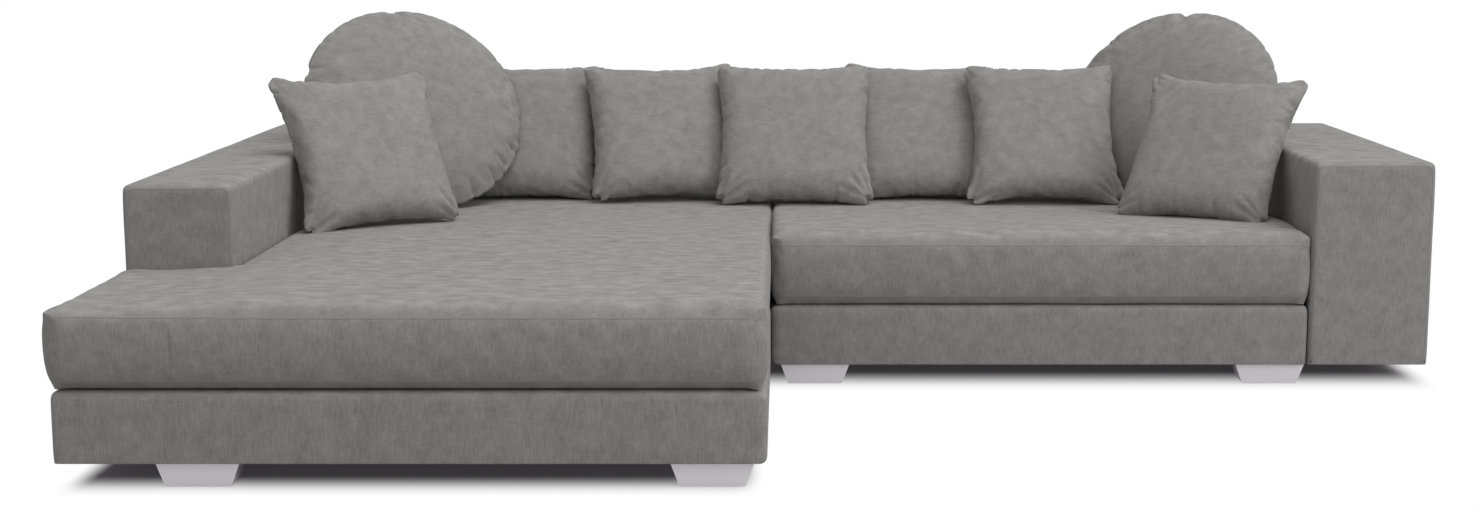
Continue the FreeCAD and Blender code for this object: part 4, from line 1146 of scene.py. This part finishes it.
def away_from_sofa(material):
    """Share of white on the floor: none below the sofa, all of it a little way outside its plan.
    Its soft rise across the plan's edge paints where the sofa's shadow fades out.
    """
    place = add(material, "TexCoord").outputs["Object"]
    axes = add(material, "SeparateXYZ", links={0: place})
    base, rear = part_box("chaise_base_cover")
    other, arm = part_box("two_seat_base_cover")[0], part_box("right_arm_cover")[1]
    shares = []
    # For the chaise, then for the two-seat module: an axis, the module's span along it, and how
    # far past the span's ends the white begins and is full
    for spans in ((("X", base.x + 0.045, rear.x - 0.045, -0.03, 0.042),
                   ("Y", base.y, rear.y, -0.12, 0.074)),
                  (("X", other.x - 0.3, arm.x, -0.045, 0.038),
                   ("Y", other.y, rear.y, -0.19, 0.086))):
        under = []
        for axis, start, end, near, far in spans:
            off = add(material, "Math", {"operation": "SUBTRACT", 1: (start + end) / 2},
                      {0: axes.outputs[axis]})
            size = add(material, "Math", {"operation": "ABSOLUTE"}, {0: off})
            under.append(add(material, "MapRange",
                             {"interpolation_type": "SMOOTHSTEP",
                              "From Min": (end - start) / 2 + near,
                              "From Max": (end - start) / 2 + far, "To Min": 1.0, "To Max": 0.0},
                             {"Value": size}))
        both = add(material, "Math", {"operation": "MULTIPLY"}, {0: under[0], 1: under[1]})
        shares.append(add(material, "Math", {"operation": "SUBTRACT", 0: 1.0}, {1: both}))
    return add(material, "Math", {"operation": "MULTIPLY"}, {0: shares[0], 1: shares[1]})


def link_lamp(name, light, place, backwards):
    """Hang a light at a place, to shine against a direction."""
    lamp = bpy.data.objects.new(name, light)
    bpy.context.scene.collection.objects.link(lamp)
    lamp.location = place
    lamp.rotation_euler = Vector(backwards).to_track_quat("Z", "Y").to_euler()


class SOFA_OT_stage(bpy.types.Operator):
    """Make the pale floor, the soft light and the camera"""
    bl_idname = "sofa.stage"
    bl_label = "Stage"

    def execute(self, context):
        scene = context.scene
        deselect()
        bpy.ops.mesh.primitive_plane_add(size=FLOOR_SIZE, location=(0, 0, 0))
        floor = context.active_object
        floor.name = "studio_floor"
        # Matt studio paper: the camera sees it white away from the sofa and shaded near it, while
        # the sofa is
        #  lit by plain grey. Near the sofa the camera's paper is painted a low grey, which deepens
        #  the real shadow, with a faint purple glow painted in to lift and tint that shadow. The
        #  white fades in over the sofa's edge as a painted shadow edge
        material = blank("pale_floor")
        seen = add(material, "LightPath")
        plain = add(material, "BsdfDiffuse", {"Color": (0.36, 0.36, 0.36, 1)})
        # Painted shade: the camera sees the paper near the sofa as this low grey, which deepens the
        # sofa's real shadow
        shaded = add(material, "BsdfDiffuse", {"Color": (0.42, 0.405, 0.42, 1)})
        # Painted light: a faint purple glow that lifts and tints the shadow
        painted_shadow_lift = add(material, "Emission", {"Color": (1, 0.93, 1, 1), "Strength": 0.03})
        shade = add(material, "AddShader", links={0: shaded, 1: painted_shadow_lift})
        white = add(material, "Emission", {"Color": (1, 1, 1, 1), "Strength": 1.0})
        # The mask fades the shaded paper into the white, which paints where the shadow's soft edge
        # ends
        near = add(material, "MixShader", links={0: away_from_sofa(material), 1: shade, 2: white})
        direct = add(material, "Math", {"operation": "MAXIMUM"},
                     {0: seen.outputs["Is Camera Ray"], 1: seen.outputs["Is Glossy Ray"]})
        close(material, add(material, "MixShader", links={0: direct, 1: plain, 2: near}))
        floor.data.materials.append(material)

        world = scene.world = bpy.data.worlds.new("studio")
        world.use_nodes = True
        world.node_tree.nodes.clear()
        sky, screen = [add(world, "Background", {"Color": (1, 1, 1, 1), "Strength": strength})
                       for strength in (SKY_STRENGTH, SCREEN_STRENGTH)]
        to_camera = add(world, "LightPath").outputs["Is Camera Ray"]
        choose = add(world, "MixShader", links={0: to_camera, 1: sky, 2: screen})
        add(world, "OutputWorld", links={"Surface": choose})

        sun = bpy.data.lights.new("overhead_softbox", "SUN")
        sun.energy = SUN_STRENGTH
        sun.angle = math.radians(SUN_SPREAD)
        link_lamp("overhead_softbox", sun, (0, 0, 0), SUN_FROM)
        for name, energy, place, aim in SOFTBOXES:
            box = bpy.data.lights.new(name, "AREA")
            box.shape = "SQUARE"
            box.size = SOFTBOX_SIZE
            box.energy = energy
            link_lamp(name, box, place, Vector(place) - Vector(aim))

        lens = bpy.data.cameras.new("studio_camera")
        lens.sensor_width = SENSOR_MM
        lens.lens = LENS_MM
        lens.shift_x = LENS_SHIFT
        camera = bpy.data.objects.new("studio_camera", lens)
        scene.collection.objects.link(camera)
        camera.location = CAMERA_PLACE
        camera.rotation_euler = (math.radians(90 - CAMERA_DIP), 0, 0)
        scene.camera = camera
        scene.view_settings.view_transform = "Standard"
        return {"FINISHED"}


class SOFA_PT_panel(bpy.types.Panel):
    """Sizes, colours and pieces of the corner sofa"""
    bl_label = "Corner Sofa"
    bl_idname = "SOFA_PT_panel"
    bl_space_type = "VIEW_3D"
    bl_region_type = "UI"
    bl_category = "Corner Sofa"

    def draw(self, context):
        layout = self.layout
        for group in (context.scene.sofa_sizes, context.scene.sofa_colours):
            for name in group.__annotations__:
                layout.prop(group, name)
        for step in STEPS:
            layout.operator(step.bl_idname)


STEPS = (SOFA_OT_finishes, SOFA_OT_bases, SOFA_OT_arms, SOFA_OT_backs, SOFA_OT_seat_cushions,
         SOFA_OT_scatter_cushions, SOFA_OT_stage)
CLASSES = (SofaSizes, SofaColours, *STEPS, SOFA_PT_panel)


def register():
    """Register the classes and their properties."""
    for item in CLASSES:
        bpy.utils.register_class(item)
    bpy.types.Scene.sofa_sizes = PointerProperty(type=SofaSizes)
    bpy.types.Scene.sofa_colours = PointerProperty(type=SofaColours)


def unregister():
    """Remove the properties and the classes."""
    del bpy.types.Scene.sofa_colours
    del bpy.types.Scene.sofa_sizes
    for item in reversed(CLASSES):
        bpy.utils.unregister_class(item)


def main():
    """Dress the sofa."""
    register()
    bpy.ops.sofa.finishes()
    bpy.ops.sofa.bases()
    bpy.ops.sofa.arms()
    bpy.ops.sofa.backs()
    bpy.ops.sofa.seat_cushions()
    bpy.ops.sofa.scatter_cushions()
    bpy.ops.sofa.stage()


if __name__ == "__main__":
    main()
